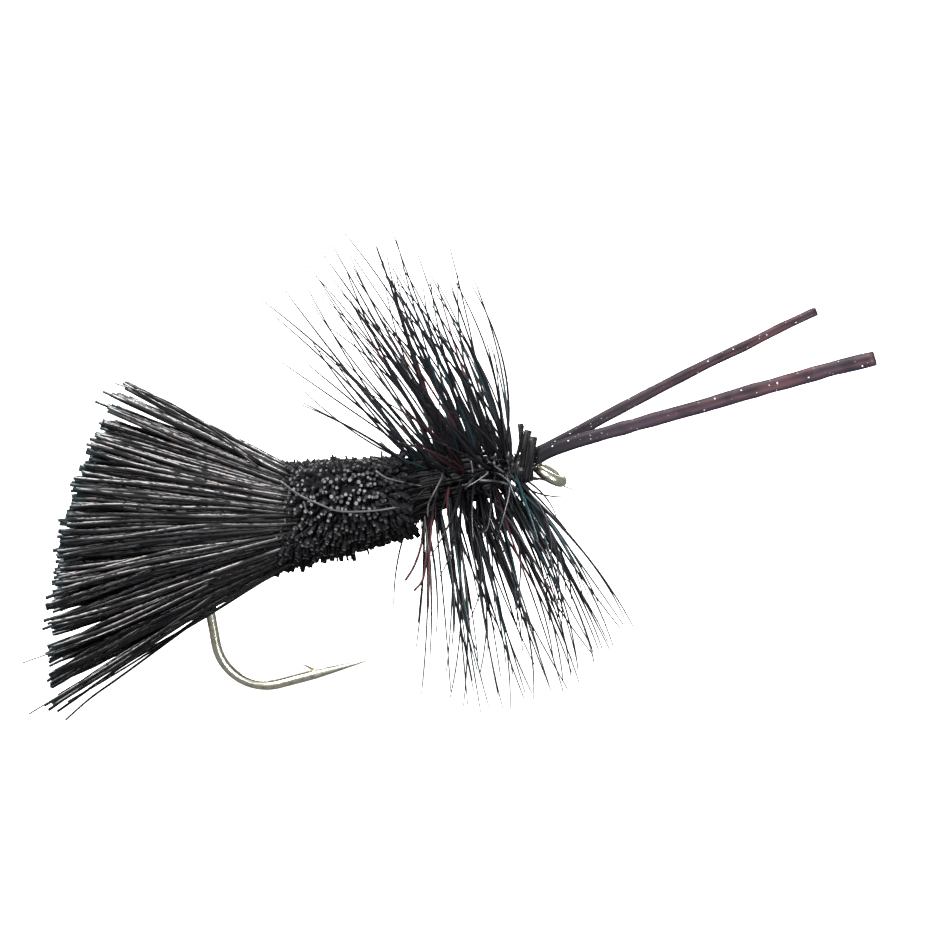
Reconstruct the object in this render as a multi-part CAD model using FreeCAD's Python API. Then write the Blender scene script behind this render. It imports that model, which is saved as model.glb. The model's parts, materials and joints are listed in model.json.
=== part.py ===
"""Dry fly: a palmered, deer-hair bodied sedge tied on a down-eye barbed hook.

Everything is built in the hook's own frame, in millimetres: X runs along the shank
towards the eye, Z is up and away from the bend, and the origin is on the shank's axis
straight above the middle of the eye. Each finished piece is then moved so that the
middle of the eye is the origin, and pitched nose up to the stance in which the fly
stands on its hackle and tail. -Y is the near side.
"""
import FreeCAD, Part
import math
import os

from FreeCAD import Rotation, Vector

# ---- stance
NOSE_UP_DEG = 9.75

# ---- hook wire
WIRE_R = 0.205
SHANK_REAR_X = -11.1
BEND_R = 3.7
HEEL_LENGTH = 1.5
THROAT_R = 2.1
SPEAR_RISE_DEG = 5.4
SPEAR_LENGTH = 3.78
POINT_LENGTH = 2.3
POINT_TIP_R = 0.02
BARB_FROM_TIP = 2.2
BARB_LENGTH = 0.42
BARB_HEIGHT = 0.2
BARB_HALF_WIDTH = 0.06

# ---- hook eye
EYE_DROP = 0.36
EYE_DROOP_DEG = 39.0
EYE_RING_R = 0.545
EYE_WIRE_R = 0.18
EYE_HOLE_R = 0.385
NECK_LENGTH = 0.6

# ---- thread
FIT_GAP = 0.01
THREAD_BASE_R = 0.30
THREAD_BASE_FRONT_X = -1.0
LASHING_WIDTH = 0.2
LASHING_R = 0.75

# ---- spun and trimmed hair of the body
BODY_REAR_X = -10.9
BODY_FRONT_X = -6.42
BODY_BUNDLES = 4
BUNDLE_GAP = 0.24
BODY_AXIS_Z = -0.33
BODY_REAR_R = 2.15
BODY_FRONT_R = 1.5
BODY_FULLNESS = 0.1
BUNDLE_CHAMFER = 0.14

# ---- untrimmed hair of the tail
FAN_FRONT_X = -11.14
FAN_REACH = 12.0
FAN_AXIS_Z = -0.19
FAN_FRONT_R = 2.25
FAN_RISE_DEG = 37.3
FAN_DROP_DEG = 21.8
FAN_SPREAD_DEG = 17.0
FAN_TRIM_TOP = (-16.8, 6.3)
FAN_TRIM_BOTTOM = (-21.9, -5.6)
FAN_TRIM_BULGE = 0.6
FAN_TUNNEL_R = 0.24

# ---- hackle
BED_REAR_X = -6.16
BED_FRONT_X = -1.42
BED_R = 0.55
QUILL_R = 0.11
QUILL_PITCH = 0.58
HACKLE_BORE_R = 0.88
HACKLE_REAR_X = -5.35
HACKLE_FRONT_X = -1.5
HACKLE_TURNS = 8
HACKLE_END_R = 8.0
HACKLE_FULL_R = 10.0
HACKLE_REAR_SWEEP_DEG = 23.0
HACKLE_FRONT_SWEEP_DEG = -10.0
HACKLE_REAR_TILT_DEG = 15.0
HACKLE_FRONT_TILT_DEG = 8.0
BARB_ROOT_THICKNESS = 0.2
BARB_TIP_THICKNESS = 0.06

# ---- head
HEAD_REAR_X = -1.38
HEAD_FRONT_X = -0.72
HEAD_REAR_R = 0.68
HEAD_FRONT_R = 0.6
CEMENT_THICKNESS = 0.04
WHIP_FRONT_X = -0.6
WHIP_R = 0.29

# ---- antennae: the stripped butts of the two hackle stalks
STALK_R = 0.11
STALK_ANGLE_DEG = 38.0
STALK_REAR_X = -2.2
ANTENNA_ROOT = (-0.5, 0.42, 0.36)
ANTENNA_ROOT_SIZE = (0.2, 0.14)
NEAR_ANTENNA = {"length": 15.15, "rise": 19.9, "splay": -16.6, "tip": (0.31, 0.16)}
FAR_ANTENNA = {"length": 13.3, "rise": 22.8, "splay": 19.5, "tip": (0.24, 0.165)}
ANTENNA_BOW = 0.12

# ---- cut ends of the feathers' tips
TRIMMED_TIP_R = 0.09
TRIMMED_TIP_LENGTH = 1.0
TRIMMED_TIP_X = -1.12
TRIMMED_TIP_FOOT_R = 0.78
TRIMMED_TIP_FORWARD = 0.06
TRIMMED_TIP_LEANS_DEG = (-34, -4, 27)

EYE_CENTRE = Vector(0, 0, -EYE_DROP)
X_AXIS = Vector(1, 0, 0)
Y_AXIS = Vector(0, 1, 0)


def between(start, end, along):
    """Value a fraction of the way from start to end."""
    return start + (end - start) * along


def direction(azimuth_deg, rise_deg):
    """Unit vector at an angle from +X towards +Y, and above the horizontal."""
    azimuth = math.radians(azimuth_deg)
    rise = math.radians(rise_deg)
    level = math.cos(rise)
    return Vector(level * math.cos(azimuth), level * math.sin(azimuth), math.sin(rise))


def in_stance(shape):
    """The piece with the eye's middle at the origin and the nose pitched up."""
    moved = shape.copy()
    moved.translate(-EYE_CENTRE)
    moved.rotate(Vector(), Y_AXIS, -NOSE_UP_DEG)
    return moved


def stance_point(x, y, z):
    """A point of the hook's frame, in the stance's frame."""
    turned = Rotation(Y_AXIS, -NOSE_UP_DEG)
    return turned.multVec(Vector(x, y, z) - EYE_CENTRE)


def turned_about_x(profile, axis_z=0.0):
    """Solid of revolution of a closed (x, radius) outline about a line parallel to X."""
    points = [Vector(x, 0, axis_z + radius) for x, radius in profile]
    face = Part.Face(Part.makePolygon(points + points[:1]))
    return face.revolve(Vector(0, 0, axis_z), X_AXIS, 360)


def collar(rear_x, front_x, inner_r, outer_r):
    """Wound thread: a ring about the shank with eased edges."""
    ease = min(0.3 * (front_x - rear_x), 0.5 * (outer_r - inner_r))
    return turned_about_x(
        [
            (rear_x, inner_r),
            (rear_x, outer_r - ease),
            (rear_x + ease, outer_r),
            (front_x - ease, outer_r),
            (front_x, outer_r - ease),
            (front_x, inner_r),
        ]
    )


def ellipse_wire(centre, along, side, half_side, half_other):
    """Closed ellipse about centre, square to along, with half_side along side."""
    other = along.cross(side)
    other.normalize()
    long_way, short_way, long_half, short_half = side, other, half_side, half_other
    if half_other > half_side:
        long_way, short_way, long_half, short_half = other, side, half_other, half_side
    curve = Part.Ellipse(
        centre + long_way * long_half, centre + short_way * short_half, centre
    )
    return Part.Wire(curve.toShape())


def hook_centreline():
    """Wire of the hook from the front of the shank round to the start of the point."""
    top_centre = Vector(SHANK_REAR_X, 0, -BEND_R)
    heel_x = SHANK_REAR_X - BEND_R
    heel_top = Vector(heel_x, 0, -BEND_R)
    heel_bottom = Vector(heel_x, 0, -BEND_R - HEEL_LENGTH)
    throat_centre = heel_bottom + Vector(THROAT_R, 0, 0)

    def on_bend(angle_deg):
        angle = math.radians(angle_deg)
        return top_centre + Vector(math.cos(angle), 0, math.sin(angle)) * BEND_R

    def on_throat(angle_deg):
        angle = math.radians(angle_deg)
        return throat_centre + Vector(math.cos(angle), 0, math.sin(angle)) * THROAT_R

    throat_end_deg = 270 + SPEAR_RISE_DEG
    spear_start = on_throat(throat_end_deg)
    spear_way = direction(0, SPEAR_RISE_DEG)
    point_start = spear_start + spear_way * (SPEAR_LENGTH - POINT_LENGTH)
    edges = [
        Part.LineSegment(Vector(-NECK_LENGTH, 0, 0), Vector(SHANK_REAR_X, 0, 0)),
        Part.Arc(Vector(SHANK_REAR_X, 0, 0), on_bend(135), heel_top),
        Part.LineSegment(heel_top, heel_bottom),
        Part.Arc(heel_bottom, on_throat((180 + throat_end_deg) / 2), spear_start),
        Part.LineSegment(spear_start, point_start),
    ]
    return Part.Wire([edge.toShape() for edge in edges]), point_start, spear_way


def swept_wire(radius):
    """Round bar along the hook's centreline."""
    path, _, _ = hook_centreline()
    section = Part.Wire(
        Part.makeCircle(radius, Vector(-NECK_LENGTH, 0, 0), Vector(-1, 0, 0))
    )
    return path.makePipeShell([section], True, True)


def hook():
    """Bent wire with a tapered point, a cut barb and a ring eye turned down."""
    _, point_start, spear_way = hook_centreline()
    body = swept_wire(WIRE_R)
    point = Part.makeCone(
        WIRE_R, POINT_TIP_R, POINT_LENGTH, point_start, spear_way
    )
    tip = point_start + spear_way * POINT_LENGTH
    up = Y_AXIS.cross(spear_way) * -1
    barb_root = tip - spear_way * BARB_FROM_TIP + up * (0.6 * WIRE_R)
    barb_outline = [
        barb_root,
        barb_root + spear_way * BARB_LENGTH,
        barb_root - spear_way * (0.6 * BARB_LENGTH) + up * BARB_HEIGHT,
    ]
    sides = [p - Y_AXIS * BARB_HALF_WIDTH for p in barb_outline]
    barb = Part.Face(Part.makePolygon(sides + sides[:1]))
    barb = barb.extrude(Y_AXIS * (2 * BARB_HALF_WIDTH))

    ring_way = direction(0, -EYE_DROOP_DEG)
    ring_normal = ring_way.cross(Y_AXIS)
    ring = Part.makeTorus(EYE_RING_R, EYE_WIRE_R, EYE_CENTRE, ring_normal)
    ring_back = EYE_CENTRE - ring_way * EYE_RING_R
    neck_start = Vector(-NECK_LENGTH, 0, 0)
    neck_way = ring_back - neck_start
    neck = Part.makeCone(WIRE_R, EYE_WIRE_R, neck_way.Length, neck_start, neck_way)
    knuckle = Part.makeSphere(WIRE_R, neck_start)
    whole = body.fuse([point, barb, ring, neck, knuckle])
    hole = Part.makeCylinder(
        EYE_HOLE_R, 4, EYE_CENTRE - ring_normal * 2, ring_normal
    )
    return whole.cut(hole).removeSplitter()


def thread_base():
    """First layer of thread on the bare shank."""
    rear = SHANK_REAR_X + FIT_GAP
    return collar(rear, THREAD_BASE_FRONT_X, WIRE_R + FIT_GAP, THREAD_BASE_R)


def lashing(rear_x):
    """Thread drawn tight between two bundles of hair."""
    return collar(rear_x, rear_x + LASHING_WIDTH, THREAD_BASE_R + FIT_GAP, LASHING_R)


def bundle_length():
    """Length along the shank of one spun bundle."""
    gaps = BUNDLE_GAP * (BODY_BUNDLES - 1)
    return (BODY_FRONT_X - BODY_REAR_X - gaps) / BODY_BUNDLES


def body_radius(x):
    """Trimmed radius of the body: a taper with a little fullness at the middle."""
    along = (x - BODY_REAR_X) / (BODY_FRONT_X - BODY_REAR_X)
    taper = between(BODY_REAR_R, BODY_FRONT_R, along)
    return taper + BODY_FULLNESS * math.sin(math.pi * along)


def body_bundle(index):
    """One bundle of hair spun round the shank and trimmed to the body's taper."""
    rear = BODY_REAR_X + index * (bundle_length() + BUNDLE_GAP)
    front = rear + bundle_length()
    disc = turned_about_x(
        [
            (rear, 0),
            (rear, body_radius(rear) - BUNDLE_CHAMFER),
            (rear + BUNDLE_CHAMFER, body_radius(rear)),
            (front - BUNDLE_CHAMFER, body_radius(front)),
            (front, body_radius(front) - BUNDLE_CHAMFER),
            (front, 0),
        ],
        BODY_AXIS_Z,
    )
    bore_r = THREAD_BASE_R + FIT_GAP
    bore = Part.makeCylinder(bore_r, 3, Vector(rear - 1, 0, 0), X_AXIS)
    return disc.cut(bore)


def trim_sphere():
    """Large ball whose surface is the slightly bulged cut across the tail's ends."""
    top = Vector(FAN_TRIM_TOP[0], 0, FAN_TRIM_TOP[1])
    bottom = Vector(FAN_TRIM_BOTTOM[0], 0, FAN_TRIM_BOTTOM[1])
    chord = top - bottom
    radius = chord.Length ** 2 / (8 * FAN_TRIM_BULGE) + FAN_TRIM_BULGE / 2
    inward = Y_AXIS.cross(chord)
    inward.normalize()
    if inward.x < 0:
        inward = inward * -1
    centre = (top + bottom) * 0.5 + inward * (radius - FAN_TRIM_BULGE)
    return Part.makeSphere(radius, centre)


def tail_hair_fan():
    """Hair left long: an oval cone that flares off the rear of the body."""
    rise = FAN_REACH * math.tan(math.radians(FAN_RISE_DEG))
    drop = FAN_REACH * math.tan(math.radians(FAN_DROP_DEG))
    spread = FAN_REACH * math.tan(math.radians(FAN_SPREAD_DEG))
    front_centre = Vector(FAN_FRONT_X, 0, FAN_AXIS_Z)
    rear_centre = front_centre + Vector(-FAN_REACH, 0, (rise - drop) / 2)
    rear_half = FAN_FRONT_R + (rise + drop) / 2
    front = ellipse_wire(front_centre, X_AXIS, Y_AXIS, FAN_FRONT_R - 0.02, FAN_FRONT_R)
    rear = ellipse_wire(rear_centre, X_AXIS, Y_AXIS, FAN_FRONT_R + spread, rear_half)
    cone = Part.makeLoft([front, rear], True, True)
    return cone.common(trim_sphere()).cut(swept_wire(FAN_TUNNEL_R))


def stalk_centre(side):
    """Where a bound stalk lies beside the shank: its (y, z)."""
    radius = THREAD_BASE_R + STALK_R + 0.5 * FIT_GAP
    angle = math.radians(STALK_ANGLE_DEG)
    return side * radius * math.cos(angle), radius * math.sin(angle)


def stalk(side, radius=STALK_R, rear_x=STALK_REAR_X):
    """Bound stretch of a hackle stalk, from the wound turns to the front of the head."""
    y, z = stalk_centre(side)
    start = Vector(rear_x, y, z)
    return Part.makeCylinder(radius, HEAD_FRONT_X - rear_x, start, X_AXIS)


def without_stalks(shape):
    """The piece with a channel for each bound stalk."""
    channels = [
        stalk(side, STALK_R + FIT_GAP, STALK_REAR_X - FIT_GAP) for side in (-1, 1)
    ]
    return shape.cut(channels)


def hackle_bed():
    """Thread and bound hair butts under the hackle."""
    return without_stalks(
        collar(BED_REAR_X, BED_FRONT_X, THREAD_BASE_R + FIT_GAP, BED_R)
    )


def wound_quill(rear_x, front_x):
    """Hackle stem wound round the bed as an open helix."""
    radius = BED_R + FIT_GAP + QUILL_R
    helix = Part.makeHelix(QUILL_PITCH, front_x - rear_x, radius)
    helix.rotate(Vector(), Y_AXIS, 90)
    helix.translate(Vector(rear_x, 0, 0))
    start = helix.Vertexes[0].Point
    way = helix.Edges[0].tangentAt(helix.Edges[0].FirstParameter)
    section = Part.Wire(Part.makeCircle(QUILL_R, start, way))
    return Part.Wire(helix).makePipeShell([section], True, True)


def hackle_dish(turn):
    """Space filled by the barbs of one turn: a thin, swept and tilted dish."""
    along = turn / (HACKLE_TURNS - 1)
    root_x = between(HACKLE_REAR_X, HACKLE_FRONT_X, along)
    reach = between(HACKLE_END_R, HACKLE_FULL_R, math.sin(math.pi * along))
    sweep = between(HACKLE_REAR_SWEEP_DEG, HACKLE_FRONT_SWEEP_DEG, along)
    tilt = between(HACKLE_REAR_TILT_DEG, HACKLE_FRONT_TILT_DEG, along)
    back = math.tan(math.radians(sweep))
    rim_r = reach * math.cos(math.radians(sweep))
    root_half = BARB_ROOT_THICKNESS / 2
    tip_half = BARB_TIP_THICKNESS / 2
    dish = turned_about_x(
        [
            (-back * HACKLE_BORE_R - root_half, HACKLE_BORE_R),
            (-back * rim_r - tip_half, rim_r),
            (-back * rim_r + tip_half, rim_r),
            (-back * HACKLE_BORE_R + root_half, HACKLE_BORE_R),
        ]
    )
    dish.rotate(Vector(), Y_AXIS, -tilt)
    dish.translate(Vector(root_x, 0, 0))
    return dish


def head_thread():
    """Barrel of thread that binds the stalks behind the eye."""
    inner = WIRE_R + FIT_GAP
    sleeve_r = THREAD_BASE_R + FIT_GAP
    sleeve_x = THREAD_BASE_FRONT_X + FIT_GAP
    return without_stalks(
        turned_about_x(
            [
                (HEAD_REAR_X, sleeve_r),
                (HEAD_REAR_X, HEAD_REAR_R - 0.08),
                (HEAD_REAR_X + 0.08, HEAD_REAR_R),
                (HEAD_FRONT_X - 0.06, HEAD_FRONT_R),
                (HEAD_FRONT_X, HEAD_FRONT_R - 0.06),
                (HEAD_FRONT_X, inner),
                (sleeve_x, inner),
                (sleeve_x, sleeve_r),
            ]
        )
    )


def head_cement():
    """Clear coat over the head's thread."""
    rear = HEAD_REAR_X + 0.1
    front = HEAD_FRONT_X - 0.08
    gap = 2 * FIT_GAP
    return turned_about_x(
        [
            (rear, HEAD_REAR_R + gap),
            (rear, HEAD_REAR_R + gap + CEMENT_THICKNESS),
            (front, HEAD_FRONT_R + gap + CEMENT_THICKNESS),
            (front, HEAD_FRONT_R + gap),
        ]
    )


def whip_finish():
    """Last turns of thread, knotted in front of the head."""
    return collar(HEAD_FRONT_X + FIT_GAP, WHIP_FRONT_X, WIRE_R + FIT_GAP, WHIP_R)


def antenna(side, size):
    """Free end of a stripped stalk: a flattened, slightly bowed bar, wider at its tip."""
    root = stance_point(ANTENNA_ROOT[0], side * ANTENNA_ROOT[1], ANTENNA_ROOT[2])
    way = direction(size["splay"], size["rise"])
    across = Vector(0, 0, 1).cross(way)
    across.normalize()
    lift = way.cross(across)
    sections = []
    for along in (0.0, 0.25, 0.5, 0.75, 1.0):
        bow = ANTENNA_BOW * math.sin(math.pi * along)
        centre = root + way * (size["length"] * along) + lift * bow
        half_width = between(ANTENNA_ROOT_SIZE[0], size["tip"][0], along)
        half_depth = between(ANTENNA_ROOT_SIZE[1], size["tip"][1], along)
        sections.append(ellipse_wire(centre, way, lift, half_width, half_depth))
    return Part.makeLoft(sections, True, False)


def trimmed_tips():
    """Cut ends of the two feathers' tips, left standing behind the head."""
    tips = []
    for lean_deg in TRIMMED_TIP_LEANS_DEG:
        lean = math.radians(lean_deg)
        away = Vector(0, math.sin(lean), math.cos(lean))
        start = Vector(TRIMMED_TIP_X, 0, 0) + away * TRIMMED_TIP_FOOT_R
        way = away + Vector(TRIMMED_TIP_FORWARD, 0, 0)
        end_r = 0.7 * TRIMMED_TIP_R
        tips.append(Part.makeCone(TRIMMED_TIP_R, end_r, TRIMMED_TIP_LENGTH, start, way))
    return Part.makeCompound(tips)


def hook_frame_pieces():
    """Every piece that belongs to the fly's stiff body, in the hook's frame."""
    step = bundle_length() + BUNDLE_GAP
    slack = (BUNDLE_GAP - LASHING_WIDTH) / 2
    pieces = {
        "hook": hook(),
        "thread_base": thread_base(),
        "tail_hair_fan": tail_hair_fan(),
        "tail_lashing": lashing(BODY_REAR_X - BUNDLE_GAP + slack),
    }
    for index in range(BODY_BUNDLES):
        front = BODY_REAR_X + index * step + bundle_length()
        pieces[f"body_bundle_{index + 1}"] = body_bundle(index)
        pieces[f"body_lashing_{index + 1}"] = lashing(front + slack)
    middle = 0.5 * (HACKLE_REAR_X + HACKLE_FRONT_X)
    half = HACKLE_TURNS // 2
    pieces["hackle_bed"] = hackle_bed()
    pieces["rear_hackle_quill"] = wound_quill(HACKLE_REAR_X, middle - QUILL_PITCH / 2)
    pieces["front_hackle_quill"] = wound_quill(middle + QUILL_PITCH / 2, HACKLE_FRONT_X - QUILL_R)
    dishes = [hackle_dish(turn) for turn in range(HACKLE_TURNS)]
    pieces["rear_hackle_barbs"] = Part.makeCompound(dishes[:half])
    pieces["front_hackle_barbs"] = Part.makeCompound(dishes[half:])
    pieces["near_bound_stalk"] = stalk(-1)
    pieces["far_bound_stalk"] = stalk(1)
    pieces["head_thread"] = head_thread()
    pieces["head_cement"] = head_cement()
    pieces["whip_finish"] = whip_finish()
    pieces["trimmed_hackle_tips"] = trimmed_tips()
    return pieces


def main():
    """Build each piece and write it to its own STEP file."""
    os.makedirs("parts", exist_ok=True)
    pieces = {name: in_stance(shape) for name, shape in hook_frame_pieces().items()}
    pieces["near_antenna"] = antenna(-1, NEAR_ANTENNA)
    pieces["far_antenna"] = antenna(1, FAR_ANTENNA)
    for name, shape in pieces.items():
        shape.exportStep(f"parts/{name}.step")
        print(f"{name}: {len(shape.Solids)} solid(s), {shape.Volume:.3f} mm3")


main()
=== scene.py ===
"""Looks of a black deer-hair dry fly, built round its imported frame.

Shapes are worked out in the hook's own frame, in millimetres: X runs along the shank
towards the eye, Z is away from the bend, -Y is the near side, and the origin is on the
shank's axis straight above the middle of the eye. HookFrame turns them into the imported
frame's metres.
"""

import json
import logging
import math
from dataclasses import dataclass
from enum import Enum

import bpy
import numpy as np
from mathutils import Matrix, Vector


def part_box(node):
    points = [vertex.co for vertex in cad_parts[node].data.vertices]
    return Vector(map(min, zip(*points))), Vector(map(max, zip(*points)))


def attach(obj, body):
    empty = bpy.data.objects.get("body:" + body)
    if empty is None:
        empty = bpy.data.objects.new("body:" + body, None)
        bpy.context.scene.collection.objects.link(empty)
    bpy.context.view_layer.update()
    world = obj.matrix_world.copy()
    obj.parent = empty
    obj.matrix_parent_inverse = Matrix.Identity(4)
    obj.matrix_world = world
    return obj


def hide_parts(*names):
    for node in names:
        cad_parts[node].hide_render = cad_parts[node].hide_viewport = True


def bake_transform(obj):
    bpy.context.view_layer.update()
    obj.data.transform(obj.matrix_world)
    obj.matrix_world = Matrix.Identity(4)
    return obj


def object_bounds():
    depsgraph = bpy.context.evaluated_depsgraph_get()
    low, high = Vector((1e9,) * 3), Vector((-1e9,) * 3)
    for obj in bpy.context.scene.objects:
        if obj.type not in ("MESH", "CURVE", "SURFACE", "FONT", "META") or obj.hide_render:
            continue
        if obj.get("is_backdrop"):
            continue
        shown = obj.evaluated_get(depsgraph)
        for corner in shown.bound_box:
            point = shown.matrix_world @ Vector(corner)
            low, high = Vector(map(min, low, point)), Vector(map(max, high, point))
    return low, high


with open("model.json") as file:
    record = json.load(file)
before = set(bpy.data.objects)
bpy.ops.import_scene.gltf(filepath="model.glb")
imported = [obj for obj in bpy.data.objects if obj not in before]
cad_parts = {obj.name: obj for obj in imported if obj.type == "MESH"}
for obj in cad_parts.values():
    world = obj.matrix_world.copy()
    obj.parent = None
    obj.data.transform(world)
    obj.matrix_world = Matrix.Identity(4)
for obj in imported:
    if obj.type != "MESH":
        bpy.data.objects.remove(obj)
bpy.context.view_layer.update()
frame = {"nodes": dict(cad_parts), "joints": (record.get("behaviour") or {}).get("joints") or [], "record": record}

log = logging.getLogger("dry_fly")

MM = 0.001
TURN = 2 * np.pi
GOLDEN = math.pi * (3.0 - math.sqrt(5.0))
X, Y, Z = np.eye(3)

Colour = tuple[float, float, float]
Point = tuple[float, float, float]
Path = tuple[Point, ...]
Pair = tuple[float, float]
Array = np.ndarray
Material = bpy.types.Material
Draws = np.random.Generator


class Slot(Enum):
    """Material slots of the record; no piece reads them."""

    WIRE = "hook_wire"
    LONG_HAIR = "long_hair"
    TRIMMED_HAIR = "trimmed_hair"
    THREAD = "tying_thread"
    BARBS = "hackle_barbs"
    QUILL = "feather_quill"
    ANTENNA = "antenna_quill"
    VARNISH = "head_varnish"


class Body(Enum):
    """Bodies of the frame: pieces ride on the fly, and the antenna stems' joints place the antennae."""

    FLY = "fly"
    NEAR = "near_antenna_stem"
    FAR = "far_antenna_stem"


# ---- vector maths


def unit(vectors: Array) -> Array:
    """Vectors scaled to length one along their last axis."""
    length = np.linalg.norm(vectors, axis=-1, keepdims=True)
    return vectors / np.maximum(length, 1e-12)


def between(start: float, end: float, along: Array) -> Array:
    """Value or values a fraction of the way from start to end."""
    return start + (end - start) * along


def around(angle: Array) -> Array:
    """Unit vectors square to the shank, at an angle from straight up towards +Y."""
    return np.stack([np.zeros_like(angle), np.sin(angle), np.cos(angle)], -1)


def heading(degrees: float | Array) -> Array:
    """Unit vectors in the X-Z plane at an angle from +X towards +Z."""
    angle = np.radians(degrees)
    return np.stack([np.cos(angle), 0 * angle, np.sin(angle)], -1)


def arc(centre: Array, radius: float, start: float, end: float, stations: int) -> Array:
    """Centre plus radius times headings that run evenly from start to end."""
    return centre + radius * heading(np.linspace(start, end, stations))


def through(path: Path, stations: int) -> Array:
    """Smooth line through a few points.

    The line is a Catmull-Rom curve: between two points it is the cubic whose slope at
    each of them is half the way from the point before to the point after.

    Args:
        path: The points that the line passes through, in order.
        stations: How many stations the line has.

    Returns:
        Array of shape (stations, 3).
    """
    p = np.array(path, float)
    p = np.vstack([2 * p[0] - p[1], p, 2 * p[-1] - p[-2]])
    t = np.linspace(0, len(path) - 1, stations)
    i = np.minimum(t.astype(int), len(path) - 2)
    u = (t - i)[:, None]
    a, b, c, d = p[i], p[i + 1], p[i + 2], p[i + 3]
    cubic = (3 * b - a - 3 * c + d) * u**3
    return 0.5 * (2 * b + (c - a) * u + (2 * a - 5 * b + 4 * c - d) * u**2 + cubic)


def through_each(paths: tuple[Path, ...], stations: int) -> Array:
    """One smooth line for each path, stacked."""
    return np.stack([through(path, stations) for path in paths])


# ---- frame


class HookFrame:
    """The hook's own frame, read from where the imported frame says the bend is."""

    EYE_DROP = 0.36

    def __init__(self, record: dict) -> None:
        """Read the pitch of the shank from the grip on the bend.

        Args:
            record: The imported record.
        """
        mounts = {mount["name"]: mount for mount in record["mounts"]}
        back = mounts["bend_grip"]["axis"]
        self.pitch = math.atan2(-back[2], -back[0])
        self.heel = self.to_hook(np.array(mounts["bend_grip"]["pos_m"]))
        self.eye_normal = self.turn(np.array(mounts["hook_eye"]["axis"]), -1.0)

    def turn(self, vectors: Array, way: float = 1.0) -> Array:
        """Directions pitched nose up about Y, or turned back again.

        Args:
            vectors: The directions, along the last axis.
            way: 1 from the hook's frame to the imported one, -1 back again.

        Returns:
            The turned directions.
        """
        c, s = math.cos(self.pitch), way * math.sin(self.pitch)
        x, y, z = vectors[..., 0], vectors[..., 1], vectors[..., 2]
        return np.stack([x * c - z * s, y, x * s + z * c], -1)

    def place(self, points: Array) -> Array:
        """Points of the hook's frame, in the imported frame's metres."""
        return self.turn(points + self.EYE_DROP * Z) * MM

    def to_hook(self, points: Array) -> Array:
        """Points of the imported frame, in the hook's frame in millimetres."""
        return self.turn(points / MM, -1.0) - self.EYE_DROP * Z

    def middle(self, node: str) -> tuple[Array, float]:
        """Middle of a CAD node's box, and half its width across the shank.

        Args:
            node: Name of the CAD node.

        Returns:
            The middle in the hook's frame, and the half width, in millimetres.
        """
        low, high = (np.array(corner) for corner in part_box(node))
        return self.to_hook((low + high) / 2), float((high - low)[1] / MM / 2)


HOOK = HookFrame(frame["record"])


# ---- shader arithmetic


class Value:
    """An output socket that takes part in arithmetic.

    Each operator adds one Math node, so an expression on values is a chain of nodes.
    """

    def __init__(self, shop: "Shop", socket: bpy.types.NodeSocket | None) -> None:
        """Wrap a socket of a shop's node tree."""
        self.shop, self.socket = shop, socket

    def _math(self, operation: str, first: object, second: object) -> "Value":
        """Result of one Math node on two values or numbers."""
        return self.shop.node("ShaderNodeMath", {"operation": operation}, {0: first, 1: second})

    def __add__(self, other: object) -> "Value":
        """Sum."""
        return self._math("ADD", self, other)

    def __mul__(self, other: object) -> "Value":
        """Product."""
        return self._math("MULTIPLY", self, other)

    __radd__, __rmul__ = __add__, __mul__

    def __sub__(self, other: object) -> "Value":
        """Difference."""
        return self._math("SUBTRACT", self, other)

    def __rsub__(self, other: object) -> "Value":
        """Difference, the other way round."""
        return self._math("SUBTRACT", other, self)

    def above(self, threshold: float, softness: float) -> "Value":
        """0 below a threshold, 1 above it, with a soft edge."""
        return self.shop.node(
            "ShaderNodeMapRange",
            {"interpolation_type": "SMOOTHSTEP"},
            {"Value": self, "From Min": threshold - softness, "From Max": threshold + softness},
        )


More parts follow.
